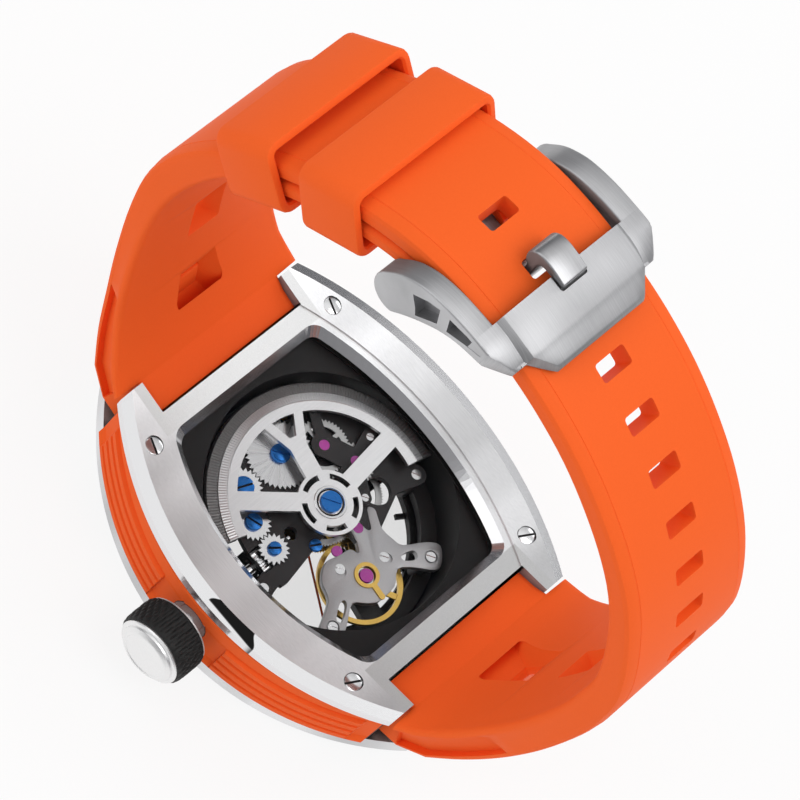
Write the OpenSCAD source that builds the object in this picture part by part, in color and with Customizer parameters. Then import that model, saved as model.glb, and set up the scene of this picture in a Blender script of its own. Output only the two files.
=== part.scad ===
// Automatic wristwatch: a barrel-shaped case seen from its back, on a closed rubber strap.
// The front crystal's outer face is the floor, z = 0. +Z points at the wrist, the crown points
// along -Y, and the holed strap leaves the case at +X.

/* [Case] */
// Half spacing of the four back screws along the case
screw_x = 16.72; // [16.4:0.02:17]
// Half spacing of the four back screws across the case
screw_y = 14.23; // [14:0.01:14.4]
// Height of the back cover's middle above the front crystal
back_z = 13; // [13:0.1:13.6]
// Radius of the case's curve along its length
curve_r = 110; // [100:1:130]
// Half width of the back cover at its middle
cover_half_w = 20.95; // [20.8:0.05:21.4]
// Radius of the back cover's long edges
cover_side_r = 41; // [39:0.5:43]
// Half length of the back cover, to its lug tips
cover_half_l = 22.8; // [22.2:0.1:23.4]
// Width of the bright bevel round the back cover
bevel_w = 1.45; // [1:0.05:1.8]
// Depth of the bright bevel round the back cover
bevel_h = 0.6; // [0.4:0.05:0.9]
// Thickness of the back cover
cover_t = 1.9; // [1.7:0.1:2.1]
// Width of each raised strip along the back cover
strip_w = 3.66; // [3.2:0.02:4]
// How far the strips stand above the crossbars
strip_rise = 0.25; // [0.1:0.05:0.4]
// Outer edge of the crossbars, from the middle
crossbar_x = 18.95; // [18.8:0.05:19.1]
// Half width of the back window at its middle
window_half_w = 14.94; // [14.7:0.02:15.1]
// Half length of the back window
window_half_l = 16.6; // [16.4:0.05:16.8]
// Width of the polished slope round the back window
window_slope = 0.95; // [0.6:0.05:1.1]
// Half width of the front bezel
bezel_half_w = 20.9; // [20.6:0.05:21.2]
// Half length of the front bezel
bezel_half_l = 26.3; // [25.8:0.1:26.8]
// Half width of the orange side bands at their widest
band_half_w = 21.5; // [21.3:0.05:21.9]
// Gap between the wings that hold a strap end, half of it
wing_y = 11.7; // [11.6:0.05:12]
// Number of ribs on each side band
rib_count = 4; // [2:1:5]

/* [Crown] */
// Height of the stem's axis above the front crystal
stem_z = 7; // [6.9:0.05:7.1]
// Distance of the crown's front face from the case's middle
crown_tip = 28; // [27.6:0.1:28.6]
// Radius of the crown's steel cap
crown_cap_r = 3.6; // [3.3:0.1:3.8]
// Radius of the crown's rubber grip
crown_grip_r = 4.5; // [4.2:0.1:4.7]
// Radius of the winding stem
stem_r = 0.6; // [0.5:0.02:0.64]
// How far the crown pulls out to set the hands
crown_travel = 1.5; // [1:0.1:1.8]

/* [Strap] */
// Half width of the strap at the case
strap_half_w = 11.4; // [11:0.05:11.5]
// Half width of the strap at the buckle
strap_tip_half_w = 9.3; // [9:0.05:9.35]
// Distance between two strap holes
hole_pitch = 6.3; // [6:0.05:6.5]
// Length of a strap hole across the strap
hole_w = 4.2; // [4.1:0.05:4.6]
// Length of a strap hole along the strap
hole_l = 2.2; // [2.1:0.05:2.4]
// Number of strap holes
hole_count = 10; // [6:1:10]
// Thickness of the keepers' walls
keeper_wall = 1.1; // [0.9:0.05:1.2]
// Outer half width of the keepers
keeper_half_w = 10.6; // [10.5:0.05:11]

/* [Buckle] */
// Radius of the round ends of the buckle's side arms
barrel_end_r = 2.7; // [2.4:0.05:2.8]
// Outer half width of the buckle
buckle_half_w = 12.3; // [12:0.05:12.8]
// Inner half width of the buckle's slot
buckle_slot_half_w = 9.65; // [9.6:0.05:9.8]
// Radius of the buckle bar
bar_r = 0.75; // [0.6:0.02:0.8]
// Width of the tang
tang_w = 3.6; // [3.2:0.05:3.8]
// Radius of the lug bars
lug_bar_r = 0.6; // [0.5:0.02:0.75]

/* [Movement] */
// Radius of the mainplate
plate_r = 14.9; // [14.8:0.05:14.95]
// Thickness of the mainplate
plate_t = 1.2; // [1:0.05:1.25]
// Thickness of the bridges
bridge_t = 0.8; // [0.6:0.05:0.85]
// Outer radius of the rotor's weight
rotor_r = 14.5; // [14.3:0.05:14.6]
// Angle that the rotor's weight covers
rotor_span = 176; // [160:1:182]
// Width of the rotor's arms
rotor_arm_w = 2.2; // [1.8:0.1:2.6]
// Outer radius of the balance wheel
balance_r = 5.1; // [4.9:0.05:5.15]
// Radius of the wheels' arbors
arbor_r = 0.25; // [0.2:0.01:0.26]
// Running clearance round every turning arbor
run_gap = 0.05; // [0.03:0.005:0.06]
// Radius of the visible jewels
jewel_r = 0.62; // [0.5:0.02:0.7]
// Radius of the blued screws' heads
blue_screw_r = 1; // [0.9:0.02:1.1]

/* [Gears] */
// Tooth size of the winding wheels
winding_m = 0.19; // [0.189:0.0005:0.191]
// Tooth size of the automatic winding wheels
rotor_m = 0.15; // [0.149:0.0005:0.151]
// Tooth size of the centre wheel
centre_m = 0.1; // [0.0995:0.0005:0.1005]

/* [Hidden] */
$fn = 64;
fine = 360;
eps = 0.01;
fit_gap = 0.15;

// Levels from the front of the case to its back
crystal_t = 1.3;
bezel_front = 0.4;
bezel_back = 3;
rim_front = 0.15;
cover_under = back_z - cover_t;
cover_floor = cover_under - fit_gap;
curve_axis_z = back_z + curve_r;
plate_z = 3.6;
plate_top = plate_z + plate_t;
bridge_z = 7.6;
bridge_top = bridge_z + bridge_t;
wheel_z = bridge_top + run_gap;
wheel_t = 0.23;
auto_z = 9;
auto_t = 0.4;
rotor_z = 9.9;
rotor_t = 0.5;

// A block with two long arc sides and square ends
module barrel_block(half_w, side_r, half_l, z_low, z_high) {
    intersection() {
        translate([0, half_w - side_r, z_low]) cylinder(r = side_r, h = z_high - z_low, $fn = fine);
        translate([0, side_r - half_w, z_low]) cylinder(r = side_r, h = z_high - z_low, $fn = fine);
        translate([-half_l, -half_w, z_low]) cube([2 * half_l, 2 * half_w, z_high - z_low]);
    }
}

// Outline of the same block with rounded corners
function barrel_outline(half_w, side_r, half_l, corner_r) =
    let (reach = half_l - corner_r,
        corner_y = half_w - side_r + sqrt(pow(side_r - corner_r, 2) - reach * reach),
        corner_turn = atan2(corner_y - half_w + side_r, reach),
        quarter = concat([for (k = [0 : 6]) [reach, corner_y] + polar(corner_r, corner_turn * k / 6)],
            [for (k = [1 : 12]) let (a = corner_turn + (90 - corner_turn) * k / 12)
                [side_r * cos(a), half_w - side_r + side_r * sin(a)]]),
        half = concat(quarter, [for (k = [len(quarter) - 2 : -1 : 0]) [-quarter[k][0], quarter[k][1]]]))
    concat(half, [for (p = half) -p]);

module round_barrel(half_w, side_r, half_l, corner_r, z_low, z_high) {
    translate([0, 0, z_low]) linear_extrude(z_high - z_low)
        polygon(barrel_outline(half_w, side_r, half_l, corner_r));
}

// Everything between two levels of the case, which all curve up towards the lugs
module curved_layer(z_low, z_high) {
    intersection() {
        difference() {
            translate([0, 0, curve_axis_z]) rotate([90, 0, 0])
                cylinder(r = curve_axis_z - z_low, h = 60, center = true, $fn = 720);
            translate([0, 0, curve_axis_z]) rotate([90, 0, 0])
                cylinder(r = curve_axis_z - z_high, h = 62, center = true, $fn = 720);
        }
        translate([-29, -29, -2]) cube([58, 58, 28]);
    }
}

// Something on each of the four back screws
module at_screws() {
    for (side_x = [-1, 1], side_y = [-1, 1])
        translate([side_x * screw_x, side_y * screw_y, 0]) children();
}

// Turns an upright piece so that it lies along the stem, pointing out of the case
module along_stem() {
    translate([0, 0, stem_z]) rotate([90, 0, 0]) children();
}

// Draws an (x, z) outline across the case, from one y to another
module across(y_low, y_high) {
    translate([0, y_high, 0]) rotate([90, 0, 0]) linear_extrude(y_high - y_low) children();
}

// Smooth curve through a list of points
function smooth_point(a, b, c, d, t) =
    0.5 * (2 * b + (c - a) * t + (2 * a - 5 * b + 4 * c - d) * t * t + (3 * b - a - 3 * c + d) * t * t * t);
function smooth(pts, steps) = concat(
    [for (i = [0 : len(pts) - 2]) for (k = [0 : steps - 1])
        smooth_point(pts[max(i - 1, 0)], pts[i], pts[i + 1], pts[min(i + 2, len(pts) - 1)], k / steps)],
    [pts[len(pts) - 1]]);

// Left-hand normal of a path at one of its points
function path_normal(pts, i) =
    let (a = pts[max(i - 1, 0)], b = pts[min(i + 1, len(pts) - 1)], d = [b[0] - a[0], b[1] - a[1]])
    [-d[1], d[0]] / norm(d);
// The path moved to its left by a share of each point's thickness and a fixed distance
function shifted(pts, share, distance) =
    [for (i = [0 : len(pts) - 1]) [pts[i][0], pts[i][1]] + path_normal(pts, i) * (pts[i][2] * share + distance)];
function flat(pts) = [for (p = pts) [p[0], p[1]]];
function reversed(pts) = [for (i = [len(pts) - 1 : -1 : 0]) pts[i]];

// Distance from point i to the end of a path, and the place at a distance before its end
function step_length(pts, i) = norm([pts[i + 1][0] - pts[i][0], pts[i + 1][1] - pts[i][1]]);
function place_back(pts, distance, i) =
    i < 0 || step_length(pts, i) >= distance ?
        let (j = max(i, 0), share = distance / step_length(pts, j))
        [pts[j + 1] + (pts[j] - pts[j + 1]) * share, path_normal(pts, j)] :
        place_back(pts, distance - step_length(pts, i), i - 1);

// Gear outline: one pointed tooth per pitch, thin enough to run free in its mate
function gear_outline(teeth, m, phase) =
    [for (i = [0 : teeth - 1]) for (half = [0, 1])
        let (a = phase + 360 * (i + half / 2) / teeth, r = m * teeth / 2 + (half == 0 ? 0.8 : -1.5) * m)
        [r * cos(a), r * sin(a)]];
// Phase that puts a wheel in mesh with one that lies at the given angle
function mesh_phase(teeth_a, phase_a, teeth_b, angle) =
    angle + 180 - 360 / teeth_b * (0.5 - (angle - phase_a) * teeth_a / 360);
function polar(r, a) = [r * cos(a), r * sin(a)];
function mesh_distance(m, teeth_a, teeth_b) = m * (teeth_a + teeth_b) / 2;

module gear(teeth, m, phase, thick) {
    linear_extrude(thick) polygon(gear_outline(teeth, m, phase));
}

// A toothed rim on spokes
module spoked_gear(teeth, m, phase, thick, rim, spokes, hub_r) {
    inner_r = m * teeth / 2 - rim;
    difference() {
        gear(teeth, m, phase, thick);
        translate([0, 0, -1]) cylinder(r = inner_r, h = thick + 2);
    }
    cylinder(r = hub_r, h = thick);
    for (k = [0 : spokes - 1])
        rotate(k * 360 / spokes) translate([0, -rim * 0.3, 0]) cube([inner_r + rim * 0.2, rim * 0.6, thick]);
}

// A bar with round ends between two places
module link(from, to, width, thick) {
    d = to - from;
    waist = 0.96 * width;
    translate([from[0], from[1], 0]) {
        cylinder(r = width / 2, h = thick);
        rotate(atan2(d[1], d[0])) translate([0, -waist / 2, 0]) cube([norm(d), waist, thick]);
    }
    translate([to[0], to[1], 0]) cylinder(r = width / 2, h = thick);
}

module at(place, z) {
    translate([place[0], place[1], z]) children();
}

// Where the movement's axes stand, from the middle of the case
centre = [0, 0];
barrel_place = [-7.75, 0];
barrel_teeth = 72;
centre_leaves = 12;
barrel_m = 2 * norm(barrel_place) / (barrel_teeth + centre_leaves);
centre_teeth = 80;
third_leaves = 10;
third_angle = 85;
third_place = polar(mesh_distance(centre_m, centre_teeth, third_leaves), third_angle);
third_teeth = 75;
fourth_leaves = 10;
third_m = 2 * norm(third_place) / (third_teeth + fourth_leaves);
escape_place = [4.05, 1.7];
fourth_teeth = 72;
escape_leaves = 8;
fourth_m = 2 * norm(escape_place) / (fourth_teeth + escape_leaves);
pallet_place = [6.1, 0.36];
balance_place = [8.7, -1.35];
ratchet_teeth = 42;
idler_b_teeth = 23;
idler_a_teeth = 21;
crown_teeth = 18;
idler_b_angle = -87;
idler_b_place = barrel_place + polar(mesh_distance(winding_m, ratchet_teeth, idler_b_teeth), idler_b_angle);
idler_a_angle = -27;
idler_a_place = idler_b_place + polar(mesh_distance(winding_m, idler_b_teeth, idler_a_teeth), idler_a_angle);
crown_wheel_reach = mesh_distance(winding_m, idler_a_teeth, crown_teeth);
crown_wheel_place = [0, idler_a_place[1] - sqrt(pow(crown_wheel_reach, 2) - pow(idler_a_place[0], 2))];
crown_wheel_angle = atan2(crown_wheel_place[1] - idler_a_place[1], -idler_a_place[0]);
reduction_leaves = 13;
reduction_angle = 63.43;
reduction_place = barrel_place
    + polar(mesh_distance(winding_m, ratchet_teeth, reduction_leaves), reduction_angle);
rotor_teeth = 21;
rotor_idler_teeth = 18;
reverser_teeth = 32;
auto_angle = 105.7;
rotor_idler_place = polar(mesh_distance(rotor_m, rotor_teeth, rotor_idler_teeth), auto_angle);
reverser_place = rotor_idler_place
    + polar(mesh_distance(rotor_m, rotor_idler_teeth, reverser_teeth), auto_angle);
reverser_leaves = 12;
reduction_teeth = 46;
reverser_vector = reduction_place - reverser_place;
reverser_m = 2 * norm(reverser_vector) / (reverser_leaves + reduction_teeth);
reverser_angle = atan2(reverser_vector[1], reverser_vector[0]);

// Gear phases, each from the wheel before it
barrel_phase = 0;
centre_pinion_phase = mesh_phase(barrel_teeth, barrel_phase, centre_leaves, 0);
third_pinion_phase = mesh_phase(centre_teeth, 0, third_leaves, third_angle);
fourth_pinion_phase = mesh_phase(third_teeth, 0, fourth_leaves, third_angle + 180);
escape_angle = atan2(escape_place[1], escape_place[0]);
escape_pinion_phase = mesh_phase(fourth_teeth, 0, escape_leaves, escape_angle);
idler_b_phase = mesh_phase(ratchet_teeth, 0, idler_b_teeth, idler_b_angle);
idler_a_phase = mesh_phase(idler_b_teeth, idler_b_phase, idler_a_teeth, idler_a_angle);
crown_wheel_phase = mesh_phase(idler_a_teeth, idler_a_phase, crown_teeth, crown_wheel_angle);
reduction_pinion_phase = mesh_phase(ratchet_teeth, 0, reduction_leaves, reduction_angle);
rotor_idler_phase = mesh_phase(rotor_teeth, 0, rotor_idler_teeth, auto_angle);
reverser_phase = mesh_phase(rotor_idler_teeth, rotor_idler_phase, reverser_teeth, auto_angle);
reduction_phase = mesh_phase(reverser_leaves, 0, reduction_teeth, reverser_angle);

// Front of the case
crystal_half_w = 14.4;
crystal_half_l = 15.6;
crystal_side_r = 38.5;
crystal_corner = 1.6;
gasket_t = 0.3;
bezel_rim = 1.5;
ring_z = 1.9;
ring_half_w = 15.2;
ring_half_l = 16.4;

module front_bezel() {
    color("silver") difference() {
        union() {
            intersection() {
                curved_layer(bezel_front, bezel_back);
                barrel_block(bezel_half_w, 35, bezel_half_l, -1, 10);
            }
            intersection() {
                round_barrel(crystal_half_w + bezel_rim, crystal_side_r, crystal_half_l + bezel_rim, 3,
                    rim_front, bezel_back + 1);
                curved_layer(-3, bezel_back);
            }
        }
        round_barrel(crystal_half_w + eps, crystal_side_r, crystal_half_l + eps, crystal_corner,
            -1, crystal_t + gasket_t);
        round_barrel(crystal_half_w - 0.8, crystal_side_r, crystal_half_l - 0.8, crystal_corner, 0, 6);
        round_barrel(ring_half_w, crystal_side_r, ring_half_l, crystal_corner, ring_z, 6);
    }
}

module front_crystal() {
    color([0.8, 0.9, 1, 0.35])
        round_barrel(crystal_half_w - 0.05, crystal_side_r, crystal_half_l - 0.05, crystal_corner, 0, crystal_t);
}

// Flat rings under the front crystal and round the back crystal
module crystal_gaskets() {
    color("black") {
        difference() {
            round_barrel(crystal_half_w - 0.1, crystal_side_r, crystal_half_l - 0.1, crystal_corner,
                crystal_t, crystal_t + gasket_t);
            round_barrel(crystal_half_w - 0.7, crystal_side_r, crystal_half_l - 0.7, crystal_corner, 0, 3);
        }
        intersection() {
            curved_layer(glass_low - back_gasket_t, glass_low);
            difference() {
                round_barrel(glass_half_w, window_side_r, glass_half_l, window_corner, 0, 20);
                round_barrel(glass_half_w - 0.55, window_side_r, glass_half_l - 0.55, window_corner, -1, 21);
            }
        }
    }
}

// Minute track round the dial side, with twelve bars that point at the middle
module chapter_ring() {
    track_half_w = ring_half_w - fit_gap;
    track_half_l = ring_half_l - fit_gap;
    color("black") {
        difference() {
            round_barrel(track_half_w, crystal_side_r, track_half_l, crystal_corner, ring_z, bezel_back);
            translate([0, 0, 1]) cylinder(r = 12.4, h = 3);
        }
        for (k = [0 : 11])
            rotate(30 * k) translate([11.2, -0.3, ring_z]) cube([1.4, 0.6, 0.5]);
    }
}

// Middle of the case
core_half_w = 19.4;
core_half_l = 22.4;
strap_end_x = 19;
cavity_half_w = 16.6;
cavity_half_l = 17.2;
cavity_side_r = 38;
lug_bar_x = 21.4;
lug_bar_z = 8.2;
lug_bar_reach = 12.7;
crown_tube_r = 1.3;

module core_shape(z_low, z_high) {
    intersection() {
        curved_layer(z_low, z_high);
        barrel_block(core_half_w, cover_side_r, core_half_l, 0, 20);
    }
}

module lug_space() {
    for (side = [-1, 1])
        translate([side * (strap_end_x + 10), 0, 8]) cube([20, 2 * wing_y, 30], center = true);
}

module lug_bar_cut(r) {
    for (side = [-1, 1])
        translate([side * lug_bar_x, 0, lug_bar_z]) rotate([90, 0, 0])
            cylinder(r = r, h = 2 * lug_bar_reach + 0.1, center = true);
}

module case_middle() {
    color("dimgray") difference() {
        core_shape(bezel_back, cover_floor);
        lug_space();
        round_barrel(cavity_half_w, cavity_side_r, cavity_half_l, 2, 0, 20);
        lug_bar_cut(lug_bar_r);
        along_stem() cylinder(r = crown_tube_r, h = 30);
        at_screws() translate([0, 0, 8.5]) cylinder(r = screw_shank_r, h = 10);
    }
}

// Orange side bands: a smooth strip next to the back cover, then ribs
rib_low = bezel_back + 0.5;
rib_high = cover_floor - 1.7;
rib_depth = 0.5;
band_top_half_w = band_half_w - 0.7;
module case_bands() {
    rib_pitch = (rib_high - rib_low) / rib_count;
    color("orangered") difference() {
        union() {
            intersection() {
                curved_layer(bezel_back + eps, cover_floor);
                barrel_block(band_top_half_w, 37, core_half_l + 0.2, 0, 20);
            }
            for (k = [0 : rib_count - 1])
                intersection() {
                    curved_layer(rib_low + k * rib_pitch, rib_low + (k + 0.62) * rib_pitch);
                    barrel_block(band_half_w - 0.06 * k, 36, core_half_l - 0.8 - 0.25 * k, 0, 20);
                }
        }
        barrel_block(core_half_w, cover_side_r, 40, -5, 30);
        translate([-40, -wing_y - 0.8, -5]) cube([80, 2 * wing_y + 1.6, 30]);
        along_stem() cylinder(r = crown_collar_r, h = 30);
    }
}

lug_bars_len = 2 * lug_bar_reach;
module lug_bars() {
    color("silver") for (side = [-1, 1])
        translate([side * lug_bar_x, 0, lug_bar_z]) rotate([90, 0, 0])
            cylinder(r = lug_bar_r, h = lug_bars_len, center = true);
}

// Back cover
window_side_r = 38.5;
window_corner = 1.5;
glass_half_w = window_half_w - window_slope + 0.6;
glass_half_l = window_half_l - window_slope + 0.6;
glass_t = 0.9;
glass_top = back_z - strip_rise - 0.95;
glass_low = glass_top - glass_t;
back_gasket_t = 0.25;
lug_root_y = 11;
screw_shank_r = 0.55;
screw_head_r = 1.05;
screw_head_t = 0.8;

// The rounded outline at a level that curves with the case
function barrel_ring(half_w, side_r, half_l, corner_r, level) =
    [for (p = barrel_outline(half_w, side_r, half_l, corner_r))
        [p[0], p[1], curve_axis_z - sqrt(pow(curve_axis_z - level, 2) - p[0] * p[0])]];

// Solid between rings of equal length, closed at both ends by a fan
module skin(rings) {
    n = len(rings[0]);
    count = len(rings);
    ends = [[0, 0, rings[0][0][2]], [0, 0, rings[count - 1][0][2]]];
    points = concat([for (r = rings) each r], ends);
    sides = [for (j = [0 : count - 2]) for (i = [0 : n - 1]) let (k = (i + 1) % n) each
        [[j * n + i, (j + 1) * n + i, (j + 1) * n + k], [j * n + i, (j + 1) * n + k, j * n + k]]];
    caps = [for (i = [0 : n - 1]) let (k = (i + 1) % n) each
        [[count * n, i, k], [count * n + 1, (count - 1) * n + k, (count - 1) * n + i]]];
    polyhedron(points, concat(sides, caps));
}

// The bright slope round the cover's long edges, as the wedge that is cut away
module bevel_wedge(side) {
    samples = 24;
    reach = 25;
    function edge_w(half_w, x) = half_w - cover_side_r + sqrt(cover_side_r * cover_side_r - x * x);
    function level_z(level, x) = curve_axis_z - sqrt(pow(curve_axis_z - level, 2) - x * x);
    rings = [for (k = [0 : samples]) let (x = -reach + 2 * reach * k / samples, w = edge_w(cover_half_w, x))
        [[x, side * (w - 1.5 * bevel_w), level_z(back_z + bevel_h / 2, x)],
         [x, side * (w - 1.5 * bevel_w), level_z(back_z + 3, x)],
         [x, side * (w + bevel_w), level_z(back_z + 3, x)],
         [x, side * (w + bevel_w), level_z(back_z - 2 * bevel_h, x)]]];
    n = 4;
    points = [for (r = rings) each r];
    sides = [for (j = [0 : samples - 1]) for (i = [0 : n - 1]) let (k = (i + 1) % n) each
        [[j * n + i, j * n + k, (j + 1) * n + k], [j * n + i, (j + 1) * n + k, (j + 1) * n + i]]];
    first = [[0, 3, 1], [1, 3, 2]];
    last = [for (f = first) [for (v = reversed(f)) v + samples * n]];
    faces = concat(sides, first, last);
    polyhedron(points, side > 0 ? faces : [for (f = faces) reversed(f)]);
}

module back_cover() {
    color("silver") difference() {
        intersection() {
            curved_layer(cover_under, back_z);
            barrel_block(cover_half_w, cover_side_r, cover_half_l, 5, 20);
        }
        for (side = [-1, 1]) {
            bevel_wedge(side);
            translate([side * (crossbar_x + 10), 0, 12]) cube([20, 2 * lug_root_y, 20], center = true);
        }
        intersection() {
            curved_layer(back_z - strip_rise, back_z + 3);
            barrel_block(cover_half_w - bevel_w - strip_w, 39, crossbar_x + 1, 5, 20);
        }
        skin([barrel_ring(window_half_w - window_slope * 1.5, window_side_r - window_slope * 1.5,
                window_half_l - window_slope * 1.5, window_corner, back_z - strip_rise - 1.5),
            barrel_ring(window_half_w + 1, window_side_r + 1, window_half_l + 1, window_corner + 1,
                back_z - strip_rise + 1)]);
        intersection() {
            curved_layer(5, glass_top);
            round_barrel(glass_half_w + eps, window_side_r, glass_half_l + eps, window_corner, 0, 20);
        }
        round_barrel(window_half_w - window_slope - 0.1, window_side_r, window_half_l - window_slope - 0.1,
            window_corner, 5, 20);
        at_screws() translate([0, 0, 5]) cylinder(r = screw_shank_r + 0.05, h = 20);
        at_screws() translate([0, 0, screw_seat]) cylinder(r = screw_head_r + 0.05, h = 5);
    }
}

screw_level = curve_axis_z - sqrt(curve_r * curve_r - screw_x * screw_x);
screw_seat = screw_level - 0.9;
module back_screws() {
    color("gray") at_screws() difference() {
        union() {
            translate([0, 0, screw_seat]) cylinder(r = screw_head_r, h = screw_head_t);
            translate([0, 0, 9.2]) cylinder(r = screw_shank_r, h = screw_seat - 9.2 + eps);
        }
        rotate(40) translate([-2, -0.15, screw_seat + 0.4]) cube([4, 0.3, 1]);
    }
}

module back_crystal() {
    color([0.8, 0.9, 1, 0.35]) intersection() {
        curved_layer(glass_low, glass_top);
        round_barrel(glass_half_w, window_side_r, glass_half_l, window_corner, 0, 20);
    }
}

// Black ring that centres the round movement in the case
holder_r = 15.1;
holder_low = bezel_back + 0.1;
module movement_holder() {
    color([0.12, 0.12, 0.12]) difference() {
        intersection() {
            curved_layer(holder_low, glass_low - back_gasket_t - 0.1);
            round_barrel(cavity_half_w - 0.1, cavity_side_r, cavity_half_l - 0.1, 2, 0, 20);
        }
        translate([0, 0, plate_z - 0.1]) cylinder(r = holder_r, h = 12);
        cylinder(r = plate_r - 0.4, h = 20);
        along_stem() cylinder(r = crown_tube_r + 0.2, h = 30);
    }
}

// Crown and stem
crown_collar_r = 2.4;
crown_inner = 23;
crown_core_r = 3;
tube_bore_r = 0.75;
module crown_tube() {
    color("silver") along_stem() difference() {
        union() {
            translate([0, 0, 17.4]) cylinder(r = crown_tube_r, h = 8);
            translate([0, 0, 19.6]) cylinder(r = crown_collar_r - eps, h = crown_inner - 0.25 - 19.6);
        }
        cylinder(r = tube_bore_r, h = 40);
    }
}

module crown_cap() {
    color("silver") along_stem() difference() {
        union() {
            translate([0, 0, crown_inner]) cylinder(r = crown_core_r, h = crown_tip - crown_inner - 0.2);
            translate([0, 0, crown_tip - 1]) cylinder(r = crown_cap_r, h = 0.7);
            translate([0, 0, crown_tip - 0.3]) cylinder(r1 = crown_cap_r, r2 = crown_cap_r - 0.3, h = 0.3);
        }
        translate([0, 0, crown_tip - 0.15]) cylinder(r = crown_cap_r - 0.5, h = 1);
        translate([0, 0, crown_inner - 1]) cylinder(r = crown_tube_r + run_gap, h = 3.6);
        cylinder(r = stem_r, h = crown_tip - 1);
    }
}

flute_count = 20;
module crown_grip() {
    grip_len = crown_tip - 1 - crown_inner;
    color([0.1, 0.1, 0.1]) along_stem() translate([0, 0, crown_inner]) difference() {
        rotate_extrude() polygon([[crown_core_r, 0], [crown_grip_r - 0.2, 0], [crown_grip_r, 0.2],
            [crown_grip_r, 0.9], [crown_grip_r - 0.45, 1.3], [crown_grip_r - 0.45, 2.3],
            [crown_grip_r, 2.7], [crown_grip_r, grip_len - 0.2], [crown_grip_r - 0.4, grip_len],
            [crown_core_r, grip_len]]);
        for (k = [0 : flute_count - 1])
            rotate(k * 360 / flute_count) translate([crown_grip_r + 0.08, 0, grip_len / 2]) rotate([22, 0, 0])
                cylinder(r = 0.36, h = 8, center = true, $fn = 16);
    }
}

stem_inner = 5.2;
module winding_stem() {
    color("lightgray") along_stem() translate([0, 0, stem_inner])
        cylinder(r = stem_r, h = crown_tip - 1 - stem_inner);
}

pinion_near = 9;
module winding_pinion() {
    top_r = wheel_z - run_gap - stem_z;
    color("lightgray") along_stem() translate([0, 0, pinion_near]) difference() {
        linear_extrude(1.6) polygon([for (i = [0 : crown_teeth - 1]) for (half = [0, 1])
            polar(half == 0 ? top_r : top_r - 0.3, 360 * (i + half / 2) / crown_teeth)]);
        translate([0, 0, -1]) cylinder(r = stem_r + run_gap, h = 4);
    }
}

clutch_near = 6.7;
clutch_travel = 0.6;
clutch_r = 1.1;
module sliding_clutch() {
    color("lightgray") along_stem() translate([0, 0, clutch_near]) rotate_extrude()
        polygon([[stem_r + run_gap, 0], [clutch_r, 0], [clutch_r, 0.6], [clutch_r - 0.25, 0.6],
            [clutch_r - 0.25, 1.2], [clutch_r, 1.2], [clutch_r, 1.9], [stem_r + run_gap, 1.9]]);
}

// Strap
// Outer face of each strap as [x, z, thickness], walked over the top towards -X
long_route = [[28.2, 9.6, 5.2], [31, 15.5, 5.2], [33.4, 22, 4.9], [35.2, 29, 4.4], [36.4, 37, 4.1],
    [36.5, 42, 4], [35.8, 47.5, 3.7], [33.3, 53.4, 3.4], [29.7, 59, 3.1], [25.2, 63.7, 3],
    [20, 67.6, 2.9], [14.5, 70.7, 2.8], [8.7, 72.9, 2.8], [3, 74.2, 2.8], [-3, 74.9, 2.8],
    [-9.2, 74.5, 2.7], [-15, 72.7, 2.5], [-21, 69.4, 2.4], [-26, 65.5, 2.3], [-31, 60.6, 2.2]];
short_route = [[-32.8, 57.2, 3.5], [-34.6, 54.6, 3.8], [-36.6, 49.6, 4.1], [-37.5, 43.6, 4], [-36.8, 37, 3.6],
    [-34.9, 29, 3.5], [-32.8, 22, 3.8], [-30.7, 15.5, 4.4], [-28.2, 9.6, 5]];
tongue_gap = 0.15;
tongue_t = 2.1;
wrap_r = 1.85;
long_curve = smooth(long_route, 4);
short_curve = smooth(short_route, 4);

// The buckle's bar hangs under the outer face, at a distance back along the strap from the tail's tip
bar_back = 24.79;
bar_drop = 4.86;
bar_foot = place_back(long_curve, bar_back, len(long_curve) - 2);
bar_x = bar_foot[0][0] + bar_foot[1][0] * bar_drop;
bar_z = bar_foot[0][1] + bar_foot[1][1] * bar_drop;
tail_curve = [for (p = long_curve) if (p[0] < bar_x + 0.8) p];

// Corners of the end that sits between the case's wings, on one side
function end_block(side) = [[side * 25.6, 6.4], [side * 22.3, 5.5], [side * (strap_end_x + 0.3), 4.8],
    [side * (strap_end_x + 0.3), 13.3], [side * 21.5, 13.9], [side * 23.2, 14.9]];

// Wrist's side of a strap from the case outwards: a fillet into the curve's own inner face
fillet_foot = [24.8, 16.4];
fillet_knee = [27, 18.8];
fillet_index = 8;
function arch(a, b, c, t) = a * (1 - t) * (1 - t) + b * 2 * t * (1 - t) + c * t * t;
function wrist_side(curve, side) =
    let (inner = shifted(side > 0 ? curve : reversed(curve), side, 0),
        foot = [side * fillet_foot[0], fillet_foot[1]], knee = [side * fillet_knee[0], fillet_knee[1]])
    concat([for (k = [0 : fillet_index - 1]) arch(foot, knee, inner[fillet_index], k / fillet_index)],
        [for (i = [fillet_index : len(inner) - 1]) inner[i]]);
long_inner = wrist_side(long_curve, 1);
short_inner = wrist_side(short_curve, -1);

long_outline = concat(reversed(end_block(1)), flat(long_curve), reversed(long_inner));
tongue_outer = shifted(tail_curve, 1, tongue_gap);
tongue_inner = shifted(tail_curve, 1, tongue_gap + tongue_t);
short_outline = concat([[bar_x, bar_z + wrap_r - 0.1]], tongue_outer, flat(short_curve), end_block(-1),
    short_inner, reversed(tongue_inner), [[bar_x, bar_z - wrap_r + 0.1]]);

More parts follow.
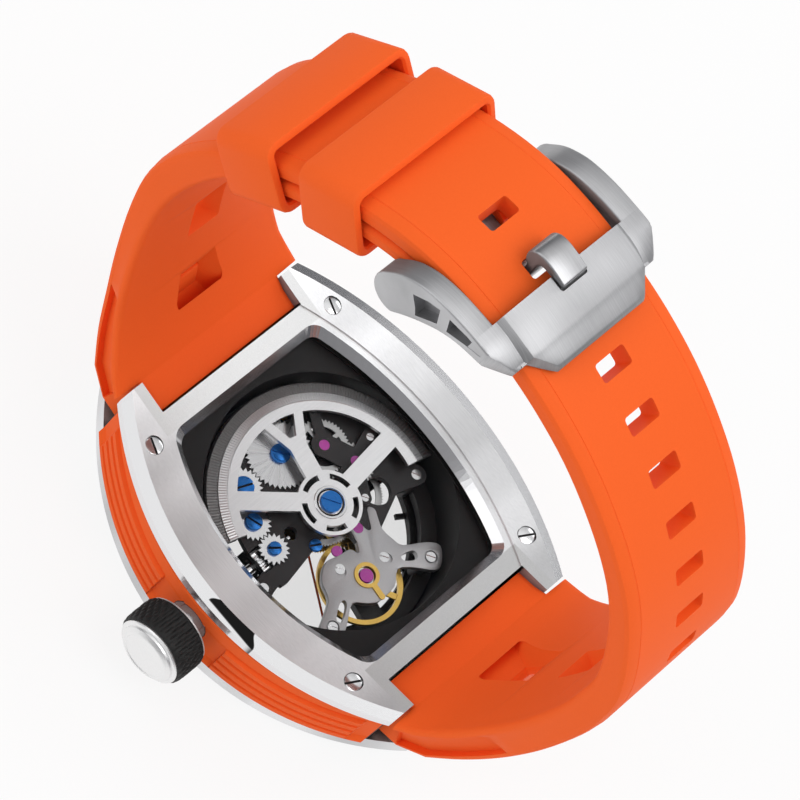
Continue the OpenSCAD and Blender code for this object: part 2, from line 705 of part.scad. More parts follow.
// Straps narrow from the case to the buckle
module strap_width() {
    translate([-50, 0, 0]) rotate([90, 0, 90]) linear_extrude(100)
        polygon(concat([for (p = strap_edge) p], reversed([for (p = strap_edge) [-p[0], p[1]]])));
}
strap_edge = [[strap_half_w, 0], [strap_half_w, 9], [10.5, 32], [9.7, 50], [strap_tip_half_w, 60],
    [strap_tip_half_w, 90]];

// Lips along the wrist's side, wider than the strap, that reach the tips of the case's wings
lip_t = 1.6;
lip_x = cover_half_l + 0.3;
lip_edge = [[strap_half_w + 3.1, 10], [strap_half_w + 3.1, 14.8], [strap_half_w + 2.5, 16.4],
    [strap_half_w + 1.6, 18.5], [strap_half_w + 1, 22], [strap_half_w - 0.5, 29]];
function lip_points(inner, side) = [for (p = concat([[side * 23.2, 14.9]], inner)) if (p[1] < 29.5) p];
module strap_lips(inner, side) {
    points = lip_points(inner, side);
    intersection() {
        across(-15, 15) polygon(concat(points, [for (i = [len(points) - 1 : -1 : 0])
            points[i] + [side * lip_t, -0.35 * lip_t]]));
        translate([-50, 0, 0]) rotate([90, 0, 90]) linear_extrude(100)
            polygon(concat(lip_edge, reversed([for (p = lip_edge) [-p[0], p[1]]])));
        translate([side * (lip_x + 10), 0, 20]) cube([20, 40, 30], center = true);
    }
}

// A hole square to the strap, at a distance along it from the tail's tip
tang_hole_back = 32.4;
module strap_hole(distance, length, width) {
    place = place_back(long_curve, distance, len(long_curve) - 2);
    normal = place[1];
    translate([place[0][0], 0, place[0][1]]) rotate([0, 90 - atan2(normal[1], normal[0]), 0])
        cube([length, width, 12], center = true);
}

// Window through the strap at a height, deeper and wider on the wrist's side
module vent(curve, height, length, width) {
    near = [for (i = [1 : len(curve) - 2]) if (abs(curve[i][1] - height) < 1.3 && curve[i][1] < 45) i][0];
    normal = path_normal(curve, near);
    translate([curve[near][0], 0, curve[near][1]]) rotate([0, 90 - atan2(normal[1], normal[0]), 0]) {
        cube([2, width, 16], center = true);
        translate([0, 0, 2 + 5]) cube([length, width + 0.4, 10], center = true);
    }
}

module strap_long() {
    color("orangered") difference() {
        union() {
            intersection() {
                across(-15, 15) polygon(long_outline);
                strap_width();
            }
            strap_lips(long_inner, 1);
        }
        for (k = [0 : hole_count - 1])
            strap_hole(tang_hole_back + (k - 1) * hole_pitch, hole_l, hole_w);
        vent(long_curve, 19, 8.5, hole_w);
        vent(long_curve, 31, 6, hole_w);
        lug_bar_cut(lug_bar_r + run_gap);
    }
}

module strap_short() {
    color("orangered") difference() {
        union() {
            intersection() {
                union() {
                    across(-15, 15) polygon(short_outline);
                    translate([bar_x, 0, bar_z]) rotate([90, 0, 0])
                        cylinder(r = wrap_r, h = 30, center = true);
                }
                strap_width();
            }
            strap_lips(short_inner, -1);
        }
        translate([bar_x, 0, bar_z]) rotate([90, 0, 0]) cylinder(r = bar_r + run_gap, h = 40, center = true);
        translate([bar_x + 1.5, 0, bar_z]) cube([7.4, tang_w + 0.7, 8], center = true);
        vent(short_curve, 19, 8.5, hole_w);
        vent(short_curve, 30, 6, hole_w);
        lug_bar_cut(lug_bar_r + run_gap);
    }
}

// A square loop round both straps, on an axis along the strap, with a gap over the tail
module keeper(distance, angle, gap) {
    place = place_back(long_curve, distance, len(long_curve) - 2);
    centre_at = place[0] + place[1] * (keeper_height / 2 - keeper_wall - gap);
    translate([centre_at[0], 0, centre_at[1]]) rotate([0, -angle, 0]) difference() {
        cube([keeper_length, 2 * keeper_half_w, keeper_height], center = true);
        cube([keeper_length + 1, 2 * (keeper_half_w - keeper_wall), keeper_height - 2 * keeper_wall],
            center = true);
    }
}

keeper_length = 7.7;
keeper_height = 8.5;
free_gap = 1.25;
fixed_gap = 0.5;
module keeper_free() {
    color("orangered") keeper(1, 46, free_gap);
}
module keeper_fixed() {
    color("orangered") keeper(12.5, 34.5, fixed_gap);
}

// Buckle
// Its points are counted from the bar
arm_route = [[-2.1, 1.7], [-1.2, 3.1], [-0.1, 4.2], [2, 5.4], [5.1, 6.1], [8.7, 6.3], [11, 6.2]];
arm_under = [[11, 3.8], [8, 3.2], [5.9, 2.2], [4.2, 0.9], [2.5, -0.7], [1.2, -2.2]];
plate_crown_r = 42;
buckle_top = 7.8;
buckle_back = 8.7;
pocket_depth = 1.4;

module buckle_arm_shape() {
    polygon(concat(smooth(arm_route, 3), smooth(arm_under, 3)));
    circle(r = barrel_end_r);
}

module buckle_frame() {
    step_x = 13.7;
    front_x = 16.2;
    slot_w = buckle_slot_half_w;
    color("silver") translate([bar_x, 0, bar_z]) difference() {
        union() {
            for (side = [-1, 1])
                translate([0, side * (buckle_half_w + slot_w) / 2, 0])
                    across(-(buckle_half_w - slot_w) / 2, (buckle_half_w - slot_w) / 2) buckle_arm_shape();
            intersection() {
                across(-buckle_half_w, buckle_half_w)
                    polygon([[buckle_back, buckle_top], [11.3, 7.6], [13.8, 7], [front_x, 6], [front_x, 5.1],
                        [step_x, 5.6], [9.8, 6], [buckle_back, 6]]);
                linear_extrude(20) polygon([[buckle_back, -buckle_half_w], [11, -buckle_half_w],
                    [step_x, -10.5], [step_x, -8.2], [front_x, -6.4], [front_x, 6.4], [step_x, 8.2],
                    [step_x, 10.5], [11, buckle_half_w], [buckle_back, buckle_half_w]]);
                translate([0, 0, buckle_top - plate_crown_r]) rotate([0, 90, 0])
                    cylinder(r = plate_crown_r, h = 60, center = true, $fn = fine);
            }
            for (side = [-1, 1]) intersection() {
                across(-buckle_half_w, buckle_half_w)
                    polygon([[buckle_back, 6 + eps], [13, 6 + eps], [step_x, 4], [11, 3.8], [buckle_back, 3.5]]);
                linear_extrude(20) polygon([[buckle_back, side * slot_w], [step_x, side * slot_w],
                    [step_x, side * 10.5], [11, side * buckle_half_w], [buckle_back, side * buckle_half_w]]);
            }
        }
        for (side = [-1, 1]) translate([0, side * (buckle_half_w - pocket_depth / 2), 0]) {
            across(-pocket_depth / 2 - eps, pocket_depth) polygon([[1.2, 3], [4.2, 4.9], [5, 2.7], [2.8, 0.6]]);
            across(-pocket_depth / 2 - eps, pocket_depth)
                polygon([[5.5, 5.1], [10.3, 5.5], [10.3, 4.6], [6.2, 3.2]]);
        }
        translate([buckle_back - 1, -tang_w / 2 - 0.2, tang_rest]) cube([3, tang_w + 0.4, 3]);
        rotate([90, 0, 0]) cylinder(r = bar_r, h = 2 * (buckle_half_w - 0.6), center = true);
    }
}

module buckle_bar() {
    color("gray") translate([bar_x, 0, bar_z]) rotate([90, 0, 0])
        cylinder(r = bar_r, h = 2 * (buckle_half_w - 0.7), center = true);
}

tang_rest = 7.2;
tang_eye_r = 1.45;
module buckle_tang() {
    outer = [[4.6, 0.5], [5.9, 1.4], [6.15, 2.6], [6.15, 5.6], [5.7, 6.3], [5.4, 7.4], [5.8, 8.4], [7, 8.8],
        [9.2, 8.6], [10.3, 8.3]];
    inner = [[10.3, 7.35], [8.8, 7.5], [7.4, 7.55], [6.8, 7], [7, 5.6], [7.15, 3.6], [7.2, 1.6], [5.6, -0.5]];
    color("silver") translate([bar_x, 0, bar_z]) difference() {
        union() {
            across(-tang_w / 2, tang_w / 2) polygon(concat([[0, 1]], outer, inner, [[0, -1]]));
            rotate([90, 0, 0]) cylinder(r = tang_eye_r, h = tang_w, center = true);
        }
        rotate([90, 0, 0]) cylinder(r = bar_r + run_gap, h = 20, center = true);
    }
}

// Movement: plate and bridges
pivot_depth = 0.5;
rim_inner_r = 13;
module pivots(places, z, depth) {
    for (p = places) at(p, z) cylinder(r = arbor_r + run_gap, h = depth, $fn = 24);
}
plate_pivots = [barrel_place, third_place, escape_place, pallet_place, balance_place];
balance_feet = [[11.7, 6.4], [10.7, -8.75]];
barrel_feet = [[-12.1, -6.6], [2.6, -12.2], [-12.1, 6.6]];
train_feet = [[-7.8, 9.6], [3.6, 11.8]];
foot_r = 1;

module mainplate() {
    color([0.25, 0.25, 0.27]) difference() {
        union() {
            translate([0, 0, plate_z]) {
                difference() {
                    cylinder(r = plate_r, h = plate_t);
                    translate([0, 0, -1]) cylinder(r = rim_inner_r, h = plate_t + 2);
                }
                cylinder(r = 2.4, h = plate_t);
                link(centre, [-12.6, 0], 4.2, plate_t);
                link(centre, escape_place, 2.8, plate_t);
                link(escape_place, balance_place, 2.5, plate_t);
                link(balance_place, [13.4, -2.2], 2.7, plate_t);
                link(centre, [0.4, 13.2], 3, plate_t);
                link(centre, [0, -12.6], 4.4, plate_t);
            }
            for (p = concat(balance_feet, barrel_feet, train_feet))
                at(p, plate_z) cylinder(r = foot_r, h = bridge_z - plate_z);
            translate([-1.8, -14.2, plate_top - eps]) cube([3.6, 2, 2.7]);
        }
        translate([0, 0, plate_z - 1]) cylinder(r = cannon_r + run_gap, h = plate_t + 2);
        pivots(plate_pivots, plate_top - pivot_depth, 2);
        along_stem() cylinder(r = stem_r + run_gap, h = 30);
    }
}

module bridge_body(outline, limit_r) {
    translate([0, 0, bridge_z]) intersection() {
        linear_extrude(bridge_t) polygon(outline);
        cylinder(r = limit_r, h = bridge_t, $fn = fine);
    }
}

module jewel_seats(places, top) {
    for (p = places) at(p, top - 0.3) cylinder(r = jewel_r, h = 1);
}

module barrel_bridge() {
    color([0.16, 0.16, 0.17]) difference() {
        union() {
            bridge_body([[-0.6, 2.5], [-4.2, 2.6], [-8.8, 5.6], [-13, 4.4], [-13, -13], [3.4, -13],
                [3.8, -9.5], [3, -5.2], [2.4, -2.6], [2.4, 1.6], [1.2, 2.5]], 10.9);
            for (p = barrel_feet) translate([0, 0, bridge_z]) link(p * 0.8, p, 2 * foot_r + 0.4, bridge_t);
        }
        at(barrel_place, bridge_z - 1) cylinder(r = 0.9 + run_gap, h = 4);
        at(centre, bridge_z - 1) cylinder(r = fourth_arbor_r + run_gap, h = 1.6);
        at([-0.2, -5.2], bridge_z - 1) cylinder(r = 0.8, h = 4);
        along_stem() translate([0, 0, clutch_near - clutch_travel - 0.2])
            cylinder(r = clutch_r + 0.1, h = pinion_near - clutch_near + clutch_travel + 0.2);
        translate([-1.5, -pinion_near - 1.8, bridge_z - 1]) cube([3, 1.9, 3]);
        for (p = blue_places) at(p, bridge_z - 1) cylinder(r = blue_shank_r, h = 4);
        for (p = barrel_feet) at(p, bridge_top - 0.35) cylinder(r = small_screw_r, h = 2);
    }
}

third_window = [2.2, 6.6];
module train_bridge() {
    color([0.16, 0.16, 0.17]) difference() {
        union() {
            bridge_body([[-0.6, 2.8], [-4.1, 2.9], [-8, 6.1], [-9.4, 8.6], [-3, 13.4], [5.4, 13.4],
                [3.8, 8.4], [6, 3.2], [5.2, 0.4], [2.7, 0.4], [2.7, 1.8], [1.4, 2.8]], 12.4);
            for (p = train_feet) translate([0, 0, bridge_z]) link(p * 0.8, p, 2 * foot_r + 0.4, bridge_t);
        }
        pivots([third_place, escape_place], bridge_z - 1, 1 + pivot_depth - 0.1);
        jewel_seats([escape_place], bridge_top);
        at(third_window, bridge_z - 1) cylinder(r = 1.7, h = 4);
        for (p = train_feet) at(p, bridge_top - 0.35) cylinder(r = small_screw_r, h = 2);
    }
}

auto_feet = [[-9.2, 6.5], [-2.9, 9.8], [2, 4.3]];
auto_foot_r = 0.62;
auto_screw_r = 0.45;
module auto_bridge() {
    color([0.2, 0.2, 0.21]) difference() {
        union() {
            translate([0, 0, auto_z]) {
                link(reduction_place, reverser_place, 3, auto_t);
                link(reverser_place, rotor_idler_place, 2, auto_t);
                link(reduction_place, auto_feet[0], 1.3, auto_t);
                link(reverser_place, auto_feet[1], 2, auto_t);
                link(reverser_place, auto_feet[2], 1.6, auto_t);
            }
            for (p = auto_feet) at(p, bridge_top) cylinder(r = auto_foot_r, h = auto_z + auto_t - bridge_top);
        }
        translate([0, 0, auto_z - 1]) cylinder(r = rotor_hub_clear_r, h = 3);
        jewel_seats([reduction_place, reverser_place], auto_z + auto_t);
        pivots([reduction_place, reverser_place, rotor_idler_place], auto_z - 1, 1.2);
        for (p = auto_feet) at(p, auto_z + auto_t - 0.2) cylinder(r = auto_screw_r, h = 2);
    }
}

balance_jewel_r = 0.8;
module balance_bridge() {
    color([0.62, 0.62, 0.64]) difference() {
        translate([0, 0, bridge_z]) {
            at(balance_place, 0) cylinder(r = 2.7, h = bridge_t);
            link(balance_place, balance_feet[0], 2.4, bridge_t);
            link(balance_place, balance_feet[1], 2.2, bridge_t);
            link(balance_place, [4.6, -2.6], 2.6, bridge_t);
            link(balance_place, [8.4, 1.9], 2.6, bridge_t);
            link(balance_feet[0], [12.6, 5.2], 2.4, bridge_t);
        }
        at(balance_place, bridge_z - 1) cylinder(r = balance_jewel_r, h = 4);
        for (p = small_places) at(p, bridge_top - 0.35) cylinder(r = small_screw_r, h = 2);
        jewel_seats([[4.55, -2.2]], bridge_top);
    }
}

// Steel screws in the balance bridge, its feet and the other bridges' feet
small_screw_r = 0.6;
small_places = [[6.3, -3.4], [8.4, 1.85], balance_feet[0], balance_feet[1]];
module slotted_head(r, h) {
    difference() {
        cylinder(r = r, h = h);
        rotate(35) translate([-r - 1, -0.1, h - 0.12]) cube([2 * r + 2, 0.2, 1]);
    }
}
module bridge_screws() {
    color("silver") {
        for (p = concat(small_places, barrel_feet, train_feet))
            at(p, bridge_top - 0.35) slotted_head(small_screw_r, 0.4);
        for (p = auto_feet) at(p, auto_z + auto_t - 0.2) slotted_head(auto_screw_r, 0.25);
    }
}

// Blued shouldered screws that the winding wheels turn on, and one in the bridge
blue_shank_r = 0.5;
blue_places = [idler_b_place, idler_a_place, crown_wheel_place, [2.6, -3.9]];
module blue_screws() {
    head_z = wheel_z + wheel_t + 0.05;
    color([0.1, 0.35, 0.75]) for (i = [0 : len(blue_places) - 1]) at(blue_places[i], 0) {
        shank_z = i == 2 ? stem_z + clutch_r + 0.15 : bridge_z;
        translate([0, 0, shank_z]) cylinder(r = blue_shank_r, h = head_z - shank_z + eps);
        translate([0, 0, i < 3 ? head_z : bridge_top]) slotted_head(blue_screw_r - (i == 2 ? 0.25 : 0), 0.35);
        if (i == 3) translate([0, 0, bridge_top]) cylinder(r = blue_shank_r, h = 0.3);
    }
}

module jewels() {
    color([0.8, 0.15, 0.6]) {
        at(escape_place, bridge_top - 0.3) cylinder(r = jewel_r, h = 0.3);
        at([4.55, -2.2], bridge_top - 0.3) cylinder(r = jewel_r, h = 0.3);
        for (p = [reduction_place, reverser_place]) at(p, auto_z + auto_t - 0.3) difference() {
            cylinder(r = jewel_r, h = 0.3);
            translate([0, 0, -0.5]) cylinder(r = arbor_r + run_gap, h = 0.7, $fn = 24);
        }
        at(balance_place, bridge_z + 0.2) cylinder(r = balance_jewel_r, h = 0.65);
    }
}

// Brass index round the balance jewel, with a tail
module regulator() {
    color("gold") at(balance_place, bridge_top) difference() {
        union() {
            cylinder(r = 1.5, h = 0.2);
            link([0, 0], [2.9, -0.3], 0.7, 0.2);
        }
        translate([0, 0, -1]) cylinder(r = 1.05, h = 3);
    }
}

// Fixed post in the middle that the rotor turns on, with its slotted head
post_r = 0.9;
rotor_hub_clear_r = 1.85;
module rotor_post() {
    color([0.1, 0.35, 0.75]) {
        translate([0, 0, bridge_top]) cylinder(r = post_r, h = rotor_z + rotor_t - bridge_top + 0.06);
        translate([0, 0, rotor_z + rotor_t + 0.05]) slotted_head(1.25, 0.35);
    }
}

// Rotor
weight_inner_r = 12;
weight_mid = 166;
hub_r = 3.83;
module rotor_plate() {
    color("silver") difference() {
        union() {
            translate([0, 0, rotor_z]) {
                cylinder(r = hub_r, h = rotor_t);
                for (a = [233, 97]) rotate(a)
                    translate([2, -rotor_arm_w / 2, 0]) cube([9.4, rotor_arm_w, rotor_t]);
                rotate(168) {
                    translate([2, -rotor_arm_w / 2, 0]) cube([6.4, rotor_arm_w, rotor_t]);
                    for (side = [-1, 1]) translate([7.4, side * 0.6, 0]) rotate(side * 24)
                        translate([0, -0.55, 0]) cube([3.9, 1.1, rotor_t]);
                }
                rotate(weight_mid - rotor_span / 2) rotate_extrude(angle = rotor_span)
                    translate([10.9, 0]) square([weight_inner_r - 10.9, rotor_t]);
            }
            translate([0, 0, wheel_z]) cylinder(r = 1.3, h = rotor_z - wheel_z + eps);
            translate([0, 0, wheel_z]) gear(rotor_teeth, rotor_m, 0, wheel_t);
        }
        translate([0, 0, 7]) cylinder(r = post_r + run_gap, h = 5);
        for (k = [0 : 4]) rotate(72 * k + 20) rotate_extrude(angle = 46)
            translate([2.75, rotor_z - 1]) square([0.65, 3]);
    }
}

module rotor_weight() {
    color([0.45, 0.45, 0.46]) rotate(weight_mid - rotor_span / 2) rotate_extrude(angle = rotor_span)
        polygon([[weight_inner_r, 9.3], [rotor_r, 9.3], [rotor_r, 9.9], [13.15, 10], [13.05, 10.3],
            [12.25, 10.5], [weight_inner_r, 10.4]]);
}

// Winding wheels
module ratchet_wheel() {
    color("silver") at(barrel_place, wheel_z) difference() {
        gear(ratchet_teeth, winding_m, 0, wheel_t);
        translate([0, 0, -1]) cylinder(r = 0.6, h = 3);
    }
}

module barrel_arbor() {
    color([0.1, 0.35, 0.75]) at(barrel_place, 0) {
        translate([0, 0, plate_top - pivot_depth + 0.05]) cylinder(r = arbor_r, h = 1);
        translate([0, 0, plate_top + 0.1]) cylinder(r = 0.9, h = wheel_z - plate_top - 0.1);
        translate([0, 0, wheel_z - eps]) cylinder(r = 0.6, h = wheel_t + 2 * eps);
        translate([0, 0, wheel_z + wheel_t]) slotted_head(1.15, 0.35);
    }
}

module bored_gear(place, teeth, m, phase, bore_r) {
    at(place, wheel_z) difference() {
        gear(teeth, m, phase, wheel_t);
        translate([0, 0, -1]) cylinder(r = bore_r, h = 3);
    }
}

module crown_wheel() {
    color("silver") bored_gear(crown_wheel_place, crown_teeth, winding_m, crown_wheel_phase, blue_shank_r + run_gap);
}
module winding_idler_a() {
    color("silver") bored_gear(idler_a_place, idler_a_teeth, winding_m, idler_a_phase, blue_shank_r + run_gap);
}
module winding_idler_b() {
    color("silver") bored_gear(idler_b_place, idler_b_teeth, winding_m, idler_b_phase, blue_shank_r + run_gap);
}

// The wheels under the automatic bridge turn on arbors held by both bridges
upper_wheel_z = wheel_z + wheel_t + 0.06;
upper_wheel_t = auto_z - 0.06 - upper_wheel_z;
module reduction_wheel() {
    color("gold") at(reduction_place, 0) {
        translate([0, 0, wheel_z]) gear(reduction_leaves, winding_m, reduction_pinion_phase, wheel_t + 0.1);
        translate([0, 0, upper_wheel_z])
            spoked_gear(reduction_teeth, reverser_m, reduction_phase, upper_wheel_t, 0.8, 4, 0.9);
        translate([0, 0, wheel_z]) cylinder(r = arbor_r, h = 0.7);
    }
}

module reverser_pinion() {
    color("silver") at(reverser_place, 0) {
        translate([0, 0, upper_wheel_z]) gear(reverser_leaves, reverser_m, 0, upper_wheel_t);
        translate([0, 0, upper_wheel_z]) cylinder(r = arbor_r, h = 0.4);
    }
}

module reverser_wheel() {
    color("gold") at(reverser_place, 0) translate([0, 0, wheel_z])
        spoked_gear(reverser_teeth, rotor_m, reverser_phase, wheel_t, 0.6, 5, 0.7);
}

module rotor_idler() {
    color("gold") at(rotor_idler_place, 0) {
        translate([0, 0, wheel_z]) gear(rotor_idler_teeth, rotor_m, rotor_idler_phase, wheel_t);
        translate([0, 0, wheel_z]) cylinder(r = arbor_r, h = auto_z + 0.15 - wheel_z);
    }
}

// Going train
barrel_z = 5.45;
drum_r = 6.05;
drum_wall = 0.4;
drum_top = 6.7;
module barrel() {
    color("gold") at(barrel_place, barrel_z) difference() {
        union() {
            gear(barrel_teeth, barrel_m, barrel_phase, 0.35);
            cylinder(r = drum_r, h = drum_top - barrel_z);
        }
        translate([0, 0, 0.25]) cylinder(r = drum_r - drum_wall, h = 3);
        translate([0, 0, -1]) cylinder(r = 0.9 + run_gap, h = 3);
    }
}

// Flat strip wound from an inner to an outer radius
module flat_spiral(r_in, r_out, turns, strip, height) {
    steps = turns * 20;
    function spiral_r(k) = r_in + (r_out - r_in) * k / steps;
    linear_extrude(height) polygon(concat(
        [for (k = [0 : steps]) polar(spiral_r(k), 18 * k)],
        [for (k = [steps : -1 : 0]) polar(spiral_r(k) + strip, 18 * k)]));
}

module mainspring() {
    color("steelblue") at(barrel_place, barrel_z + 0.32) flat_spiral(0.95, drum_r - drum_wall - 0.2, 7, 0.14, 0.7);
}

cannon_r = 0.75;
fourth_arbor_r = 0.2;
centre_bore_r = fourth_arbor_r + run_gap;
centre_tube_r = 0.5;
centre_z = plate_top + 0.2;
module centre_wheel() {
    color("gold") difference() {
        union() {
            translate([0, 0, centre_z]) spoked_gear(centre_teeth, centre_m, 0, 0.2, 0.8, 4, 1.3);
            translate([0, 0, centre_z]) gear(centre_leaves, barrel_m, centre_pinion_phase, 1);
            translate([0, 0, hand_z[1]]) cylinder(r = centre_tube_r, h = 4);
        }
        translate([0, 0, 0]) cylinder(r = centre_bore_r, h = 9, $fn = 32);
    }
}

third_wheel_z = 6.85;
module third_wheel() {
    color("gold") at(third_place, 0) {
        translate([0, 0, centre_z - 0.05]) gear(third_leaves, centre_m, third_pinion_phase, 0.4);
        translate([0, 0, third_wheel_z]) spoked_gear(third_teeth, third_m, 0, 0.15, 0.8, 4, 0.9);
        translate([0, 0, plate_top - 0.4]) cylinder(r = arbor_r, h = bridge_z + 0.3 - plate_top + 0.4);
    }
}

fourth_wheel_z = 7.2;
module fourth_wheel() {
    color("gold") {
        translate([0, 0, third_wheel_z - 0.1]) gear(fourth_leaves, third_m, fourth_pinion_phase, 0.37);
        translate([0, 0, fourth_wheel_z]) spoked_gear(fourth_teeth, fourth_m, 0, 0.15, 0.7, 4, 0.8);
        translate([0, 0, hand_z[2]]) cylinder(r = fourth_arbor_r, h = bridge_z + 0.4 - hand_z[2]);
    }
}

escape_z = 5.5;
escape_r = 1.9;
escape_teeth = 20;
module escape_wheel() {
    color("silver") at(escape_place, 0) {
        translate([0, 0, fourth_wheel_z - 0.05]) gear(escape_leaves, fourth_m, escape_pinion_phase, 0.25);
        translate([0, 0, plate_top - 0.4]) cylinder(r = arbor_r, h = bridge_z + 0.3 - plate_top + 0.4);
        translate([0, 0, escape_z]) {
            difference() {
                linear_extrude(0.2) polygon([for (i = [0 : escape_teeth - 1]) for (k = [0, 1])
                    polar(k == 0 ? escape_r : escape_r - 0.35, 360 * (i + 0.25 * k) / escape_teeth)]);
                translate([0, 0, -1]) cylinder(r = escape_r - 0.6, h = 3);
            }
            for (k = [0 : 3]) rotate(90 * k) translate([0, -0.12, 0]) cube([escape_r - 0.5, 0.24, 0.2]);
        }
    }
}

// Lever between the escape wheel and the balance
lever_angle = atan2(balance_place[1] - pallet_place[1], balance_place[0] - pallet_place[0]);
module pallet_fork() {
    color("silver") at(pallet_place, 0) {
        translate([0, 0, plate_top - 0.4]) cylinder(r = arbor_r, h = 1.3);
        translate([0, 0, 5.45]) rotate(lever_angle) {
            translate([0, -0.15, 0]) cube([2.1, 0.3, 0.2]);
            for (side = [-1, 1]) {
                translate([2, side * 0.28 - 0.08, 0]) cube([0.5, 0.16, 0.2]);
                rotate(side * 115) translate([0, -0.13, 0]) cube([1.4, 0.26, 0.2]);
            }
            cylinder(r = 0.45, h = 0.2);
            translate([1.95, -0.36, 0]) cube([0.15, 0.72, 0.2]);
        }
    }
}

balance_z = 6;
rim_w = 0.55;
module balance_wheel() {
    color("gold") at(balance_place, 0) {
        translate([0, 0, balance_z]) difference() {
            cylinder(r = balance_r, h = 0.5);
            translate([0, 0, -1]) cylinder(r = balance_r - rim_w, h = 3);
        }
        for (k = [0 : 2]) rotate(120 * k + 30) translate([0, -0.35, balance_z + 0.1])
            cube([balance_r - rim_w + 0.1, 0.7, 0.25]);
        translate([0, 0, balance_z - 0.2]) cylinder(r = 0.6, h = 0.6);
        translate([0, 0, plate_top - 0.4]) cylinder(r = arbor_r, h = bridge_z + 0.15 - plate_top + 0.4);
        rotate(lever_angle + 180) translate([0.45, 0, 5.45]) cylinder(r = 0.1, h = 0.5, $fn = 16);
    }
}

module hairspring() {
    color("steelblue") at(balance_place, 6.95) {
        flat_spiral(0.42, 2.1, 9, 0.05, 0.2);
        difference() {
            cylinder(r = 0.45, h = 0.2);
            translate([0, 0, -1]) cylinder(r = arbor_r, h = 3);
        }
    }
}

// Motion work and hands
cannon_leaves = 12;
minute_teeth = 36;
minute_leaves = 10;
hour_teeth = 40;
motion_m = 0.15;
motion_reach = mesh_distance(motion_m, cannon_leaves, minute_teeth);
hour_m = 2 * motion_reach / (minute_leaves + hour_teeth);
minute_angle = -135;
minute_place = polar(motion_reach, minute_angle);
hand_z = [2.3, 1.85, 1.45];
motion_z = 2.78;
minute_wheel_phase = mesh_phase(cannon_leaves, 0, minute_teeth, minute_angle);
hour_phase = mesh_phase(minute_leaves, 0, hour_teeth, minute_angle + 180);
hour_bore_r = cannon_r + run_gap;
module cannon_pinion() {
    color("silver") difference() {
        union() {
            translate([0, 0, hand_z[1]]) cylinder(r = cannon_r, h = plate_top - hand_z[1]);
            translate([0, 0, motion_z + 0.34]) gear(cannon_leaves, motion_m, 0, 0.25);
        }
        translate([0, 0, 1]) cylinder(r = centre_tube_r, h = 9);
    }
}

module minute_wheel() {
    color("gold") at(minute_place, 0) {
        translate([0, 0, motion_z + 0.36]) gear(minute_teeth, motion_m, minute_wheel_phase, 0.2);
        translate([0, 0, motion_z]) gear(minute_leaves, hour_m, 0, 0.4);
        translate([0, 0, motion_z]) cylinder(r = arbor_r, h = plate_z - motion_z + 0.3);
    }
}

module hour_wheel() {
    color("gold") difference() {
        union() {
            translate([0, 0, motion_z]) gear(hour_teeth, hour_m, hour_phase, 0.25);
            translate([0, 0, hand_z[0] - 0.1]) cylinder(r = hour_bore_r + 0.25, h = motion_z - hand_z[0] + 0.2);
        }
        translate([0, 0, 1]) cylinder(r = hour_bore_r, h = 4);
    }
}

module hand(length, width, angle, z, bore_r) {
    color("white") translate([0, 0, z]) rotate(angle) difference() {
        union() {
            linear_extrude(0.15) polygon([[0, -width * 0.4], [length - 1.5, -width / 2], [length, 0],
                [length - 1.5, width / 2], [0, width * 0.4]]);
            cylinder(r = bore_r + 0.55, h = 0.15);
        }
        translate([0, 0, -1]) cylinder(r = bore_r, h = 3);
    }
}
module hour_hand() {
    hand(7.2, 1.3, 120, hand_z[0] - 0.1 + 0.12, hour_bore_r + 0.25);
}
module minute_hand() {
    hand(10.2, 1.1, 60, hand_z[1], cannon_r);
}
module second_hand() {
    color("orangered") translate([0, 0, hand_z[2]]) rotate(-30) difference() {
        union() {
            translate([-3.2, -0.12, 0]) cube([13.8, 0.24, 0.12]);
            cylinder(r = 0.6, h = 0.12);
        }
        translate([0, 0, -1]) cylinder(r = fourth_arbor_r, h = 3);
    }
}

front_bezel();
front_crystal();
chapter_ring();
case_middle();
case_bands();
back_cover();
back_crystal();
crystal_gaskets();
back_screws();
crown_tube();
movement_holder();
lug_bars();
strap_long();
strap_short();
keeper_fixed();
keeper_free();
buckle_frame();
buckle_bar();
buckle_tang();
mainplate();
barrel_bridge();
train_bridge();
auto_bridge();
balance_bridge();
jewels();
blue_screws();
bridge_screws();
regulator();
rotor_post();
crown_cap();
crown_grip();
winding_stem();
winding_pinion();
sliding_clutch();
crown_wheel();
winding_idler_a();
winding_idler_b();
ratchet_wheel();
barrel_arbor();
reduction_wheel();
reverser_pinion();
rotor_plate();
rotor_weight();
rotor_idler();
reverser_wheel();
barrel();
second_hand();
mainspring();
centre_wheel();
third_wheel();
fourth_wheel();
escape_wheel();
pallet_fork();
balance_wheel();
hairspring();
cannon_pinion();
minute_wheel();
hour_wheel();
hour_hand();
minute_hand();
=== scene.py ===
import bpy
import bmesh
from math import atan2, cos, degrees, pi, radians, sin, sqrt
from mathutils import Matrix, Vector


